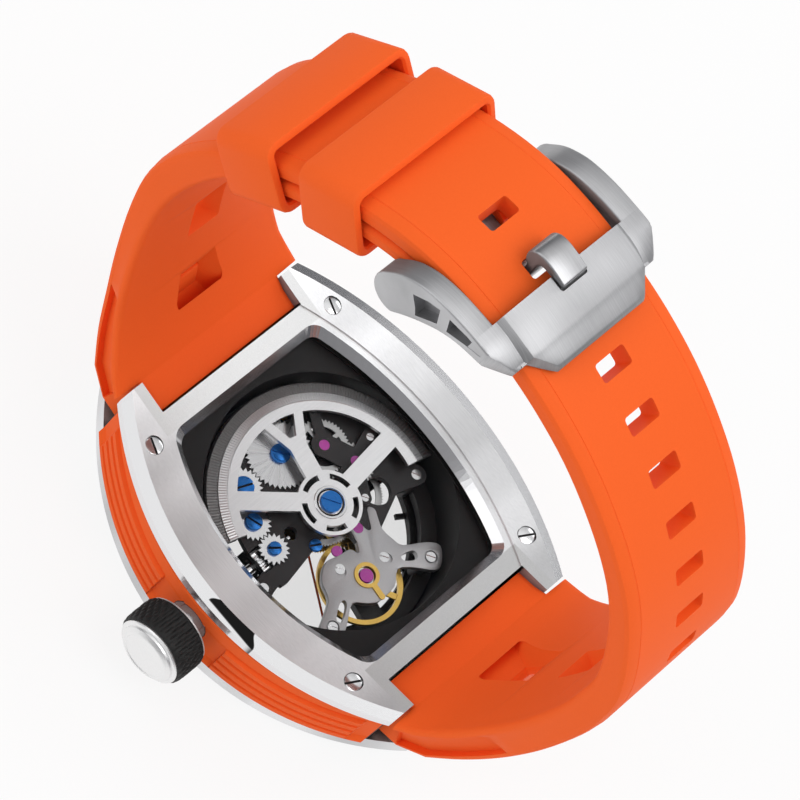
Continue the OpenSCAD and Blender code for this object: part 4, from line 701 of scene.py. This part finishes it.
def ventCutters(curve, height, length, width):
    near = min((i for i, p in enumerate(curve) if p[1] < 45), key=lambda i: abs(curve[i][1] - height))
    normal = curveNormal(curve, near)
    tilt = 90 - degrees(atan2(normal[1], normal[0]))
    toCase = 1 if normal[0] > 0 else -1
    x, z, thick = curve[near]
    outer = Vector((x, z))
    # a funnel on the wrist's side, a small window, and a wider funnel outwards and towards the case
    window, depth = strap["ventWindow"], strap["ventDepth"]
    wall, over = strap["ventWall"], strap["ventOver"]
    longer, wider, away = strap["ventOut"]
    grow = (depth + over) / depth
    mouth = (window[0] + (length - window[0]) * grow, window[1] + (width - window[1]) * grow)
    shift = strap["ventShift"] * toCase
    inside = taperedBox("ventInside", (*mouth, depth + over), window, shift)
    middle = outer + normal * (thick + over - (depth + over) / 2)
    placePiece(inside, (middle[0], 0, middle[1]), tilt)
    pane = roundBox("ventPane", (window[0] - 0.1, window[1] - 0.1, 1.6), 0.3)
    for vert in pane.data.vertices:
        vert.co.x += shift * mm
    middle = outer + normal * (thick - depth - wall / 2)
    placePiece(pane, (middle[0], 0, middle[1]), tilt)
    low = thick - depth - wall
    outside = taperedBox("ventOutside", (*window, low + over), (length * longer, width * wider),
                         toCase * away)
    for vert in outside.data.vertices:
        if vert.co.z > 0:
            vert.co.x += shift * mm
    middle = outer + normal * (low - (low + over) / 2)
    placePiece(outside, (middle[0], 0, middle[1]), tilt)
    return [inside, pane, outside]


def cutVents(piece, curve, vents):
    cutters = [cutter for vent in vents for cutter in ventCutters(curve, *vent)]
    for cutter in cutters:
        cutAway(piece, [cutter])


def pocketDepth(z):
    return strap["pocket"] if z < strap["pocketTop"] else 0.0


def buildStrapLong():
    stations = endStations(1) + [(pair, 1) for pair in filletPairs(longCurve, 1)]
    rings = [strapRing(a, b, pocketDepth(a[1]) if a[0] > 25 else 0, share) for (a, b), share in stations]
    piece = sweepRings("strapLong", rings)
    cutAway(piece, strapHoles())
    cutVents(piece, longCurve, strap["longVents"])
    return finishPiece(piece, "rubberOrange", "case", ["strap_long"])


def buildStrapShort():
    tail = longCurve[strap["tailFirst"] * 4:]
    gap, thick = strap["tongueGap"], strap["tongueThick"]
    upper = pairs(tail, gap)
    lower = pairs(tail, gap + thick)
    bar = Vector((strap["barX"], strap["barZ"]))
    stations = [((bar[0] + 1.55, bar[1] + 0.75), (bar[0] + 1.55, bar[1] - 0.75)),
                ((bar[0] + 1.1, bar[1] + 1.5), (bar[0] + 1.1, bar[1] - 1.5)),
                ((bar[0] + 0.2, bar[1] + 1.9), (bar[0] + 0.1, bar[1] - 1.85))]
    stations += [(a[1], b[1]) for a, b in list(zip(upper, lower))[3:-1]]
    stations = [(pair, 0) for pair in stations]
    stations += [(pair, 1) for pair in reversed(filletPairs(shortCurve, -1))]
    stations += reversed(endStations(-1))
    rings = [strapRing(a, b, pocketDepth(a[1]) if a[0] < -25 and a[1] < 40 else 0, share)
             for (a, b), share in stations]
    piece = sweepRings("strapShort", rings)
    slotCut = roundBox("tangSlot", strap["tangSlot"], 0.3)
    placePiece(slotCut, (strap["barX"] + 1.5, 0, strap["barZ"]), 0)
    cutAway(piece, [slotCut])
    cutVents(piece, shortCurve, strap["shortVents"])
    return finishPiece(piece, "rubberOrange", "case", ["strap_short"])


buildStrapLong()
print("long strap is built")
buildStrapShort()
print("short strap is built")

# Keepers
keeper = {
    "length": 7.7, "halfW": 10.6, "height": 8.5, "wall": 1.1, "corner": 1.7, "rim": 0.4,
    # distance from the tail's tip, tilt, gap over the tail
    "places": [("keeperFree", 1.0, 46, 1.25, "free_keeper", "keeper_free"),
               ("keeperFixed", 12.5, 34.5, 0.5, "case", "keeper_fixed")],
}


def loopSection(halfW, halfH, corner, inset):
    points = []
    w, h, r = halfW - inset, halfH - inset, max(corner - inset, 0.25)
    corners = ((w - r, h - r, 0), (-w + r, h - r, 90), (-w + r, -h + r, 180), (w - r, -h + r, 270))
    for cy, cz, start in corners:
        for k in range(6):
            a = radians(start + 18 * k)
            points.append((cy + r * cos(a), cz + r * sin(a)))
    return points


def buildKeeper(name, distance, tilt, gap, body, node):
    half = keeper["length"] / 2
    wall, rim = keeper["wall"], keeper["rim"]
    rings = []
    # once round the wall's section: outer face, rounded rim, inner face, rounded rim
    for x, inset in ((-half + rim, 0), (-half + rim * 0.3, rim * 0.3), (-half, rim),
                     (-half, wall - rim * 0.6), (-half + rim * 0.6, wall), (half - rim * 0.6, wall),
                     (half, wall - rim * 0.6), (half, rim), (half - rim * 0.3, rim * 0.3), (half - rim, 0)):
        rings.append([(x, y, z) for y, z in
                      loopSection(keeper["halfW"], keeper["height"] / 2, keeper["corner"], inset)])
    piece = sweepRings(name, rings, closed=True)
    place, normal = placeBack(longCurve, distance)
    centre = place + normal * (keeper["height"] / 2 - wall - gap)
    placePiece(piece, (centre[0], 0, centre[1]), -tilt)
    finishPiece(piece, "rubberOrange", body, [node])


for row in keeper["places"]:
    buildKeeper(*row)
print("keepers are built")

# Ribbed side bands
bands = {
    "axisZ": 123.0, "outerR": 36.0, "outerW": 21.5, "coreR": 41.0, "coreW": 19.45,
    "reach": 22.3, "steps": 44,
    "ribs": [(3.05, 0), (3.05, 0.62), (3.3, 0.86), (4.05, 0.86), (4.2, 0.35), (4.4, 0.35), (4.55, 0.82),
             (5.45, 0.82), (5.6, 0.32), (5.8, 0.32), (5.95, 0.76), (6.85, 0.76), (7.0, 0.28), (7.2, 0.28),
             (7.35, 0.7), (8.2, 0.7), (8.4, 0.2), (8.75, 0.18), (8.95, 0.42), (10.7, 0.36), (10.9, 0.15)],
    "plainHalf": 5.2, "plainEnd": 20.8,
}


def bandRing(x, side):
    points = []
    centre = bands["outerW"] - bands["outerR"]
    away = 1.0 if bands["plainHalf"] < abs(x) < bands["plainEnd"] else 0.0
    for level, proud in bands["ribs"]:
        rise = proud
        if 3.4 < level < 8.6 and away == 0:
            rise = 0.3
        radius = bands["outerR"] - 0.86 + rise
        y = centre + sqrt(radius ** 2 - x * x)
        z = bands["axisZ"] - sqrt((bands["axisZ"] - level) ** 2 - x * x)
        points.append((x, side * y, z))
    for level in (10.9, 3.05):
        y = bands["coreW"] - bands["coreR"] + sqrt(bands["coreR"] ** 2 - x * x)
        z = bands["axisZ"] - sqrt((bands["axisZ"] - level) ** 2 - x * x)
        points.append((x, side * y, z))
    return points


def buildBand(name, side):
    places = set()
    for k in range(bands["steps"] + 1):
        places.add(round(-bands["reach"] + 2 * bands["reach"] * k / bands["steps"], 3))
    for edge in (bands["plainHalf"], bands["plainEnd"]):
        for sign in (-1, 1):
            places.add(round(sign * (edge - 0.02), 3))
            places.add(round(sign * (edge + 0.14), 3))
    piece = sweepRings(name, [bandRing(x, side) for x in sorted(places)])
    if side < 0:
        bpy.ops.object.select_all(action="DESELECT")
        bpy.ops.mesh.primitive_cylinder_add(vertices=64, radius=2.45 * mm, depth=14 * mm,
                                            location=(0, -22 * mm, 7 * mm), rotation=(pi / 2, 0, 0))
        cutAway(piece, [bpy.context.object])
    finishPiece(piece, "rubberOrange", "case", ["case_bands"], angle=24)


buildBand("bandCrownSide", -1)
buildBand("bandFarSide", 1)
print("side bands are built")

# Crown grip with slanted flutes
grip = {
    "flutes": 30, "perFlute": 8, "twist": 9, "stemZ": 7.0, "boreR": 3.02,
    # distance out, radius and depth of the flutes
    "profile": [(23.05, 4.2, 0), (23.15, 4.36, 0.1), (23.4, 4.46, 0.3), (24.0, 4.5, 0.34),
                (24.6, 4.5, 0.36), (25.2, 4.5, 0.36), (25.8, 4.5, 0.34), (26.4, 4.46, 0.3),
                (26.75, 4.38, 0.12), (26.95, 4.2, 0)],
}


def buildGrip():
    count = grip["flutes"] * grip["perFlute"]
    rings = []
    for y, radius, cut in grip["profile"]:
        ring = []
        for k in range(count):
            turn = 360 * k / count
            wave = abs(sin(radians((turn + grip["twist"] * (y - 23)) * grip["flutes"] / 2)))
            r = radius - cut * (1 - wave) ** 2
            ring.append((r * cos(radians(turn)), -y, grip["stemZ"] + r * sin(radians(turn))))
        rings.append(ring)
    for y in (26.95, 23.05):
        rings.append([(grip["boreR"] * cos(2 * pi * k / count), -y, grip["stemZ"]
                       + grip["boreR"] * sin(2 * pi * k / count)) for k in range(count)])
    piece = sweepRings("crownGrip", rings, closed=True)
    finishPiece(piece, "rubberBlack", "crown", ["crown_grip"], angle=40)


buildGrip()
print("crown grip is built")

# Rotor weight: a serrated bright slope and a dark serrated rim
weight = {
    "middle": 166, "span": 176, "step": 0.7,
    "slope": [(12.0, 10.4), (12.1, 10.47), (12.2, 10.47), (13.05, 10.22), (13.05, 9.9), (12.0, 9.9)],
    "rim": [(12.02, 9.88), (13.1, 9.88), (13.1, 10.08), (14.3, 9.94), (14.5, 9.7), (14.5, 9.3), (12.02, 9.3)],
}


def buildWeightPart(name, section, finish, tops):
    steps = int(weight["span"] / weight["step"])
    rings = []
    for k in range(steps + 1):
        turn = radians(weight["middle"] - weight["span"] / 2 + weight["span"] * k / steps)
        ring = []
        for i, (radius, z) in enumerate(section):
            if i in tops and k % 2 and 0 < k < steps:
                z -= 0.05
                radius -= 0.01
            ring.append((radius * cos(turn), radius * sin(turn), z))
        rings.append(ring)
    piece = sweepRings(name, rings)
    return finishPiece(piece, finish, "rotor", ["rotor_weight"], angle=10)


buildWeightPart("weightSlope", weight["slope"], "rotorSteel", (2, 3))
buildWeightPart("weightRim", weight["rim"], "weightDark", (2, 3, 4))
print("rotor weight is built")

# Buckle: its points are counted from the bar, as x and z
buckle = {
    "bar": (-9.8034, 69.4024), "halfW": 12.3, "slotHalfW": 9.65, "discR": 2.7,
    "top": [(-2.1, 1.7), (-1.2, 3.1), (-0.1, 4.2), (2, 5.4), (5.1, 6.1), (8.7, 6.27), (10.8, 6.18)],
    "under": [(10.8, 3.84), (8, 3.2), (5.9, 2.2), (4.2, 0.9), (2.5, -0.7), (1.2, -2.2)],
    "windows": [[(1.3, 3.0), (2.9, 4.3), (4.3, 4.95), (5.0, 2.8), (4.0, 1.8), (2.9, 0.7), (2.4, 1.6)],
                [(5.6, 5.15), (8.0, 5.55), (10.3, 5.55), (10.3, 4.9), (8.3, 4.2), (6.2, 3.2)]],
    "windowDepth": 1.3, "crownR": 42.0,
    # the plate begins at plateStart, its rails on both sides of the strap end at railEnd
    "plateStart": 8.7, "railEnd": 13.7, "plateUnder": 6.0, "underFall": 0.07,
    "railFoot": 3.5, "railRise": 0.09,
    # stations along the plate: x, raised top, side top, raised half width, full half width
    "plate": [(8.7, 7.8, 6.3, 8.5, 12.3), (9.6, 7.76, 6.3, 8.5, 12.3), (10.4, 7.7, 6.26, 8.5, 12.3),
              (11.0, 7.62, 6.15, 8.5, 12.25), (11.8, 7.48, 5.95, 8.5, 11.75), (12.6, 7.3, 5.65, 8.45, 11.25),
              (13.3, 7.1, 5.35, 8.4, 10.8), (13.68, 6.98, 5.1, 8.35, 10.5), (13.72, 6.96, 5.1, 8.3, 8.9),
              (14.4, 6.72, 5.0, 7.7, 8.25), (15.1, 6.45, 4.95, 7.1, 7.6), (15.7, 6.2, 4.95, 6.6, 7.05),
              (16.05, 6.0, 4.95, 6.3, 6.7), (16.2, 5.7, 4.95, 6.15, 6.5)],
    "tangTop": [(-0.9, 1.15), (1.6, 1.3), (4.2, 0.5), (5.7, 1.2), (6.1, 2.8), (6.1, 5.4), (5.5, 6.4),
                (5.35, 7.5), (5.9, 8.45), (7, 8.82), (8.6, 8.72), (10.3, 8.32)],
    "tangUnder": [(10.3, 7.4), (8.8, 7.52), (7.6, 7.5), (7.0, 7.0), (7.0, 5.6), (7.15, 3.6), (7.1, 1.6),
                  (5.6, -0.5), (3.0, -1.1), (0.0, -1.3), (-1.15, -0.5)],
    "tangHalfW": 1.8, "tangRest": 7.2,
}


def sidePrism(name, outline, low, high):
    return sweepRings(name, [[(x, y, z) for x, z in outline] for y in (low, high)])


def roundEdges(piece, width, steps=3, angle=50):
    modifier = piece.modifiers.new("round", "BEVEL")
    modifier.width = width * mm
    modifier.segments = steps
    modifier.limit_method = "ANGLE"
    modifier.angle_limit = radians(angle)
    pickOnly(piece)
    bpy.ops.object.modifier_apply(modifier="round")


def armOutline():
    top, under = smoothCurve(buckle["top"], 5), smoothCurve(buckle["under"], 5)
    start = atan2(under[-1][1], under[-1][0])
    end = atan2(top[0][1], top[0][0]) - 2 * pi
    arc = [start + (end - start) * k / 16 for k in range(1, 16)]
    return ([tuple(p) for p in top] + [tuple(p) for p in under]
            + [(buckle["discR"] * cos(a), buckle["discR"] * sin(a)) for a in arc])


def plateRing(x, raised, sideTop, raisedW, fullW):
    wide = x < buckle["railEnd"]
    along = x - buckle["plateStart"]
    half = []
    for share in (0, 0.2, 0.4, 0.6, 0.8, 1.0):
        y = raisedW * share
        half.append((y, raised - (buckle["crownR"] - sqrt(buckle["crownR"] ** 2 - y * y))))
    edge = half[-1][1]
    slant = min(0.7, fullW - raisedW - 0.1)
    half.append((raisedW + 0.08, edge - 0.04))
    half.append((raisedW + slant, min(sideTop, edge - 0.1)))
    level = min(sideTop, edge - 0.1)
    plateLow = buckle["plateUnder"] - buckle["underFall"] * along
    # the foot of the side stays under its top, or the section crosses itself
    railLow = buckle["railFoot"] + buckle["railRise"] * along
    low = railLow if wide else min(plateLow - 0.5, level - 0.25)
    drop, rise = min(0.35, (level - low) * 0.45), min(0.3, (level - low) * 0.4)
    half += [(fullW - 0.3 if wide else raisedW + slant + 0.005, level),
             (fullW - 0.09, level - drop * 0.3), (fullW, level - drop),
             (fullW, low + rise), (fullW - 0.1, low + rise * 0.27), (fullW - 0.35, low)]
    inner = buckle["slotHalfW"] if wide else fullW - 0.5
    half += [(inner, low), (inner - 0.02, plateLow - 0.4 if wide else low)]
    half.append((inner * 0.5, plateLow - 0.4 if not wide else plateLow - 0.1))
    ring = [(x, y, z) for y, z in half]
    return ring + [(x, -y, z) for y, z in reversed(half[1:])]


def moveToBar(piece):
    placePiece(piece, (buckle["bar"][0], 0, buckle["bar"][1]), 0)


def buildBuckleFrame():
    half, slot = buckle["halfW"], buckle["slotHalfW"]
    piece = sweepRings("buckleFrame", [plateRing(*row) for row in buckle["plate"]])
    for side in (1, -1):
        # no face of an arm lies in a face of the plate
        arm = sidePrism("arm", armOutline(), side * (slot - 0.04), side * (half + 0.05))
        roundEdges(arm, 0.32)
        for outline in buckle["windows"]:
            window = sidePrism("window", outline, side * (half - buckle["windowDepth"]), side * (half + 1))
            cutAway(arm, [window])
        cutAway(piece, [arm], "UNION")
    notch = roundBox("notch", (3.4, 2 * buckle["tangHalfW"] + 0.3, 4), 0.3)
    placePiece(notch, (8.85, 0, buckle["tangRest"] + 2), 0)
    cutAway(piece, [notch])
    moveToBar(piece)
    return finishPiece(piece, "steelAlongY", "buckle", ["buckle_frame"], angle=35)


def buildTang():
    outline = ([tuple(p) for p in smoothCurve(buckle["tangTop"], 4)]
               + [tuple(p) for p in smoothCurve(buckle["tangUnder"], 3)])
    tang = sidePrism("tang", outline, -buckle["tangHalfW"], buckle["tangHalfW"])
    roundEdges(tang, 0.22)
    moveToBar(tang)
    return finishPiece(tang, "steelTang", "tang", ["buckle_tang"], angle=35)


buildBuckleFrame()
buildTang()
print("buckle is built")

# Slotted screw heads: plan place, level of the head's foot, radius, height, slot angle
heads = {
    "blueSteel": [((-7.427, -6.166), 8.72, 1.2, 0.36, 70), ((-3.703, -8.064), 8.72, 1.0, 0.36, 20),
                  ((0, -8.19), 8.72, 0.8, 0.36, 55), ((2.6, -3.9), 8.4, 0.75, 0.38, 62)],
    "steelPolished": [((-16.72, 14.23), 0, 1.05, 0.8, -21), ((-16.72, -14.23), 0, 1.05, 0.8, -21),
                      ((16.72, 14.23), 0, 1.05, 0.8, 63), ((16.72, -14.23), 0, 1.05, 0.8, 63)],
    "ratchet": [((-7.75, 0), 8.74, 0.95, 0.36, 48)],
    "axisZ": 123.0, "curveR": 110.0, "sunk": 0.9, "slotW": 0.26, "slotDepth": 0.26, "steps": 40,
}


def screwHead(place, foot, radius, height, turn):
    rings = []
    for r, z in ((radius, 0), (radius, height - 0.1), (radius - 0.03, height - 0.03), (radius - 0.1, height)):
        rings.append([(*point, foot + z) for point in circlePoints(place, r, heads["steps"])])
    head = sweepRings("head", rings)
    slotted = []
    bottom = height - heads["slotDepth"]
    # the second box is a thin black inlay just above the slot's bottom: painted shade in the slot
    for name, low, high in (("slot", bottom, height + 1), ("slotShadeInlay", bottom - 0.04, bottom + 0.06)):
        box = roundBox(name, (2 * radius + 0.4 * (name == "slot") - 0.1, heads["slotW"], high - low), 0.01, 1)
        box.matrix_world = (Matrix.Translation(Vector((*place, foot + (low + high) / 2)) * mm)
                            @ Matrix.Rotation(radians(turn), 4, "Z"))
        bpy.ops.object.transform_apply(location=True, rotation=True, scale=True)
        slotted.append(box)
    cutAway(head, [slotted[0]])
    return head, slotted[1]


def buildHeads(rows, finish, body, nodes):
    tops, slotShades = [], []
    for place, foot, radius, height, turn in heads[rows]:
        if foot == 0:
            # the back screws sit in the cover's curved face
            foot = heads["axisZ"] - sqrt(heads["curveR"] ** 2 - place[0] ** 2) - heads["sunk"]
        top, floor = screwHead(place, foot, radius, height, turn)
        tops.append(top)
        slotShades.append(floor)
    piece = joinPieces(tops)
    piece.name = rows + "Heads"
    finishPiece(piece, finish, body, nodes, angle=30)
    return slotShades


# the black inlays of the slots, joined: painted shade in the screw slots
def buildSlotShades(name, body, slotShades):
    piece = joinPieces(slotShades)
    piece.name = name
    finishPiece(piece, "coatBlack", body, [])


# black inlays in the screw slots are painted shade
buildSlotShades("slotShadeInlays", "case", buildHeads("blueSteel", "blueSteel", "case", ["blue_screws"])
            + buildHeads("steelPolished", "steelPolished", "case", ["back_screws"]))
buildSlotShades("ratchetSlotShade", "ratchet", buildHeads("ratchet", "blueSteel", "ratchet", []))
print("screw heads are built")

# Crown cap: stepped brushed button, and a thin steel ring behind the grip
cap = {
    "stemZ": 7.0, "steps": 72,
    "profile": [(26.9, 3.0), (26.9, 4.05), (27.15, 4.12), (27.3, 4.02), (27.36, 3.62), (27.6, 3.56),
                (27.9, 3.2), (28.0, 3.0), (28.0, 2.8), (27.93, 2.7), (27.93, 0.02)],
    "ring": [(22.78, 3.05), (22.78, 4.1), (22.86, 4.2), (23.0, 4.2), (23.0, 3.05)],
}


def turnedRings(profile):
    return [[(r * cos(2 * pi * k / cap["steps"]), -y, cap["stemZ"] + r * sin(2 * pi * k / cap["steps"]))
             for k in range(cap["steps"])] for y, r in profile]


def buildCap():
    core = [(23.0, 2.98), (26.9, 2.98)]
    button = sweepRings("crownCap", turnedRings(core + cap["profile"][1:]))
    ring = sweepRings("crownRing", turnedRings(cap["ring"]), closed=True)
    piece = joinPieces([button, ring])
    return finishPiece(piece, "steelBlasted", "crown", ["crown_cap"], angle=28)


buildCap()
print("crown cap is built")

# Rotor bearing: polished rings round the middle screw with a black ring between them as painted shade in the
# bearing's gap, and the balance's shock setting
bearing = {
    "edge": 0.05,
    "rings": [("bearingOuter", "rotor", (0, 0), 1.62, 1.95, 10.3, 10.52, "steelPolished", "steel_polished"),
              # the black ring, set lower than its neighbours, is painted shade in the gap between the
              # polished rings
              ("bearingGapShade", "rotor", (0, 0), 1.4, 1.64, 10.3, 10.42, "coatBlack", "steel_dark"),
              ("bearingInner", "rotor", (0, 0), 1.22, 1.42, 10.3, 10.5, "steelPolished", "steel_polished"),
              ("shockRing", "case", (8.7, -1.35), 0.84, 1.22, 7.9, 8.2, "steelPolished", "steel_polished")],
}


def buildRing(name, body, place, inner, outer, low, high, finish, slot):
    edge = bearing["edge"]
    rings = []
    for r, z in ((inner, low), (outer, low), (outer, high - edge), (outer - edge, high),
                 (inner + edge, high), (inner, high - edge)):
        rings.append([(*point, z) for point in circlePoints(place, r, 64)])
    piece = sweepRings(name, rings, closed=True)
    finishPiece(piece, finish, body, [], angle=28)


for row in bearing["rings"]:
    buildRing(*row)
print("rotor bearing and shock setting are built")

# Balance bridge: grained plate with long slots, traced in plan
balance = {
    "low": 7.6, "high": 8.42,
    "outline": [(5.0, -2.6), (4.7, -3.9), (5.15, -5.1), (6.2, -6.2), (7.4, -6.6), (8.3, -7.2), (9.3, -9.0),
                (9.9, -10.0), (11.2, -10.2), (12.3, -9.5), (12.2, -8.4), (11.3, -6.9), (10.1, -5.0),
                (11.1, -3.6), (11.8, -2.2), (11.6, 0.5), (10.4, 2.2), (11.4, 3.9), (13.2, 5.8), (12.9, 7.1),
                (11.4, 8.3), (10.1, 7.2), (8.7, 4.7), (7.5, 4.2), (5.9, 4.0), (4.6, 4.5), (3.6, 4.9),
                (2.9, 4.3), (4.0, 3.5), (5.0, 2.9), (4.7, 2.4), (3.0, 2.2), (3.0, 1.0), (5.2, 0.4),
                (6.2, -0.3), (5.3, -0.8)],
    "slots": [[(9.5, 3.6), (9.7, 4.9), (10.2, 5.35), (10.75, 5.1), (10.8, 4.5), (10.1, 3.5)],
              [(9.2, -5.5), (9.9, -5.7), (10.9, -7.3), (10.7, -7.8), (10.2, -7.7), (9.3, -6.4)]],
    "holes": [((11.7, 6.4), 0.78), ((10.7, -8.75), 0.78), ((8.7, -1.35), 1.32)],
    "pits": [((6.62, -3.52), 0.62), ((8.71, 2.03), 0.62), ((4.05, 1.7), 0.64)],
}


def planPrism(name, outline, low, high):
    return sweepRings(name, [[(x, y, z) for x, y in outline] for z in (low, high)])


def closedCurve(points, steps):
    count = len(points)
    result = []
    for i in range(count):
        p, q, r, s = (points[(i + k - 1) % count] for k in range(4))
        for k in range(steps):
            t = k / steps
            result.append(tuple(0.5 * (2 * b + (c - a) * t + (2 * a - 5 * b + 4 * c - d) * t * t
                                       + (3 * b - a - 3 * c + d) * t ** 3) for a, b, c, d in zip(p, q, r, s)))
    return result


def buildBalanceBridge():
    low, high = balance["low"], balance["high"]
    plate = planPrism("balanceBridge", closedCurve(balance["outline"], 3), low, high)
    roundEdges(plate, 0.09, 2)
    for outline in balance["slots"]:
        cutAway(plate, [planPrism("slot", closedCurve(outline, 3), low - 1, high + 1)])
    for place, radius in balance["holes"]:
        cutAway(plate, [planPrism("hole", circlePoints(place, radius), high - 0.45, high + 1)])
    for place, radius in balance["pits"]:
        cutAway(plate, [planPrism("pit", circlePoints(place, radius), high - 0.2, high + 1)])
    return finishPiece(plate, "bridgeGrey", "case", ["balance_bridge"], angle=28)


buildBalanceBridge()
print("balance bridge is built")
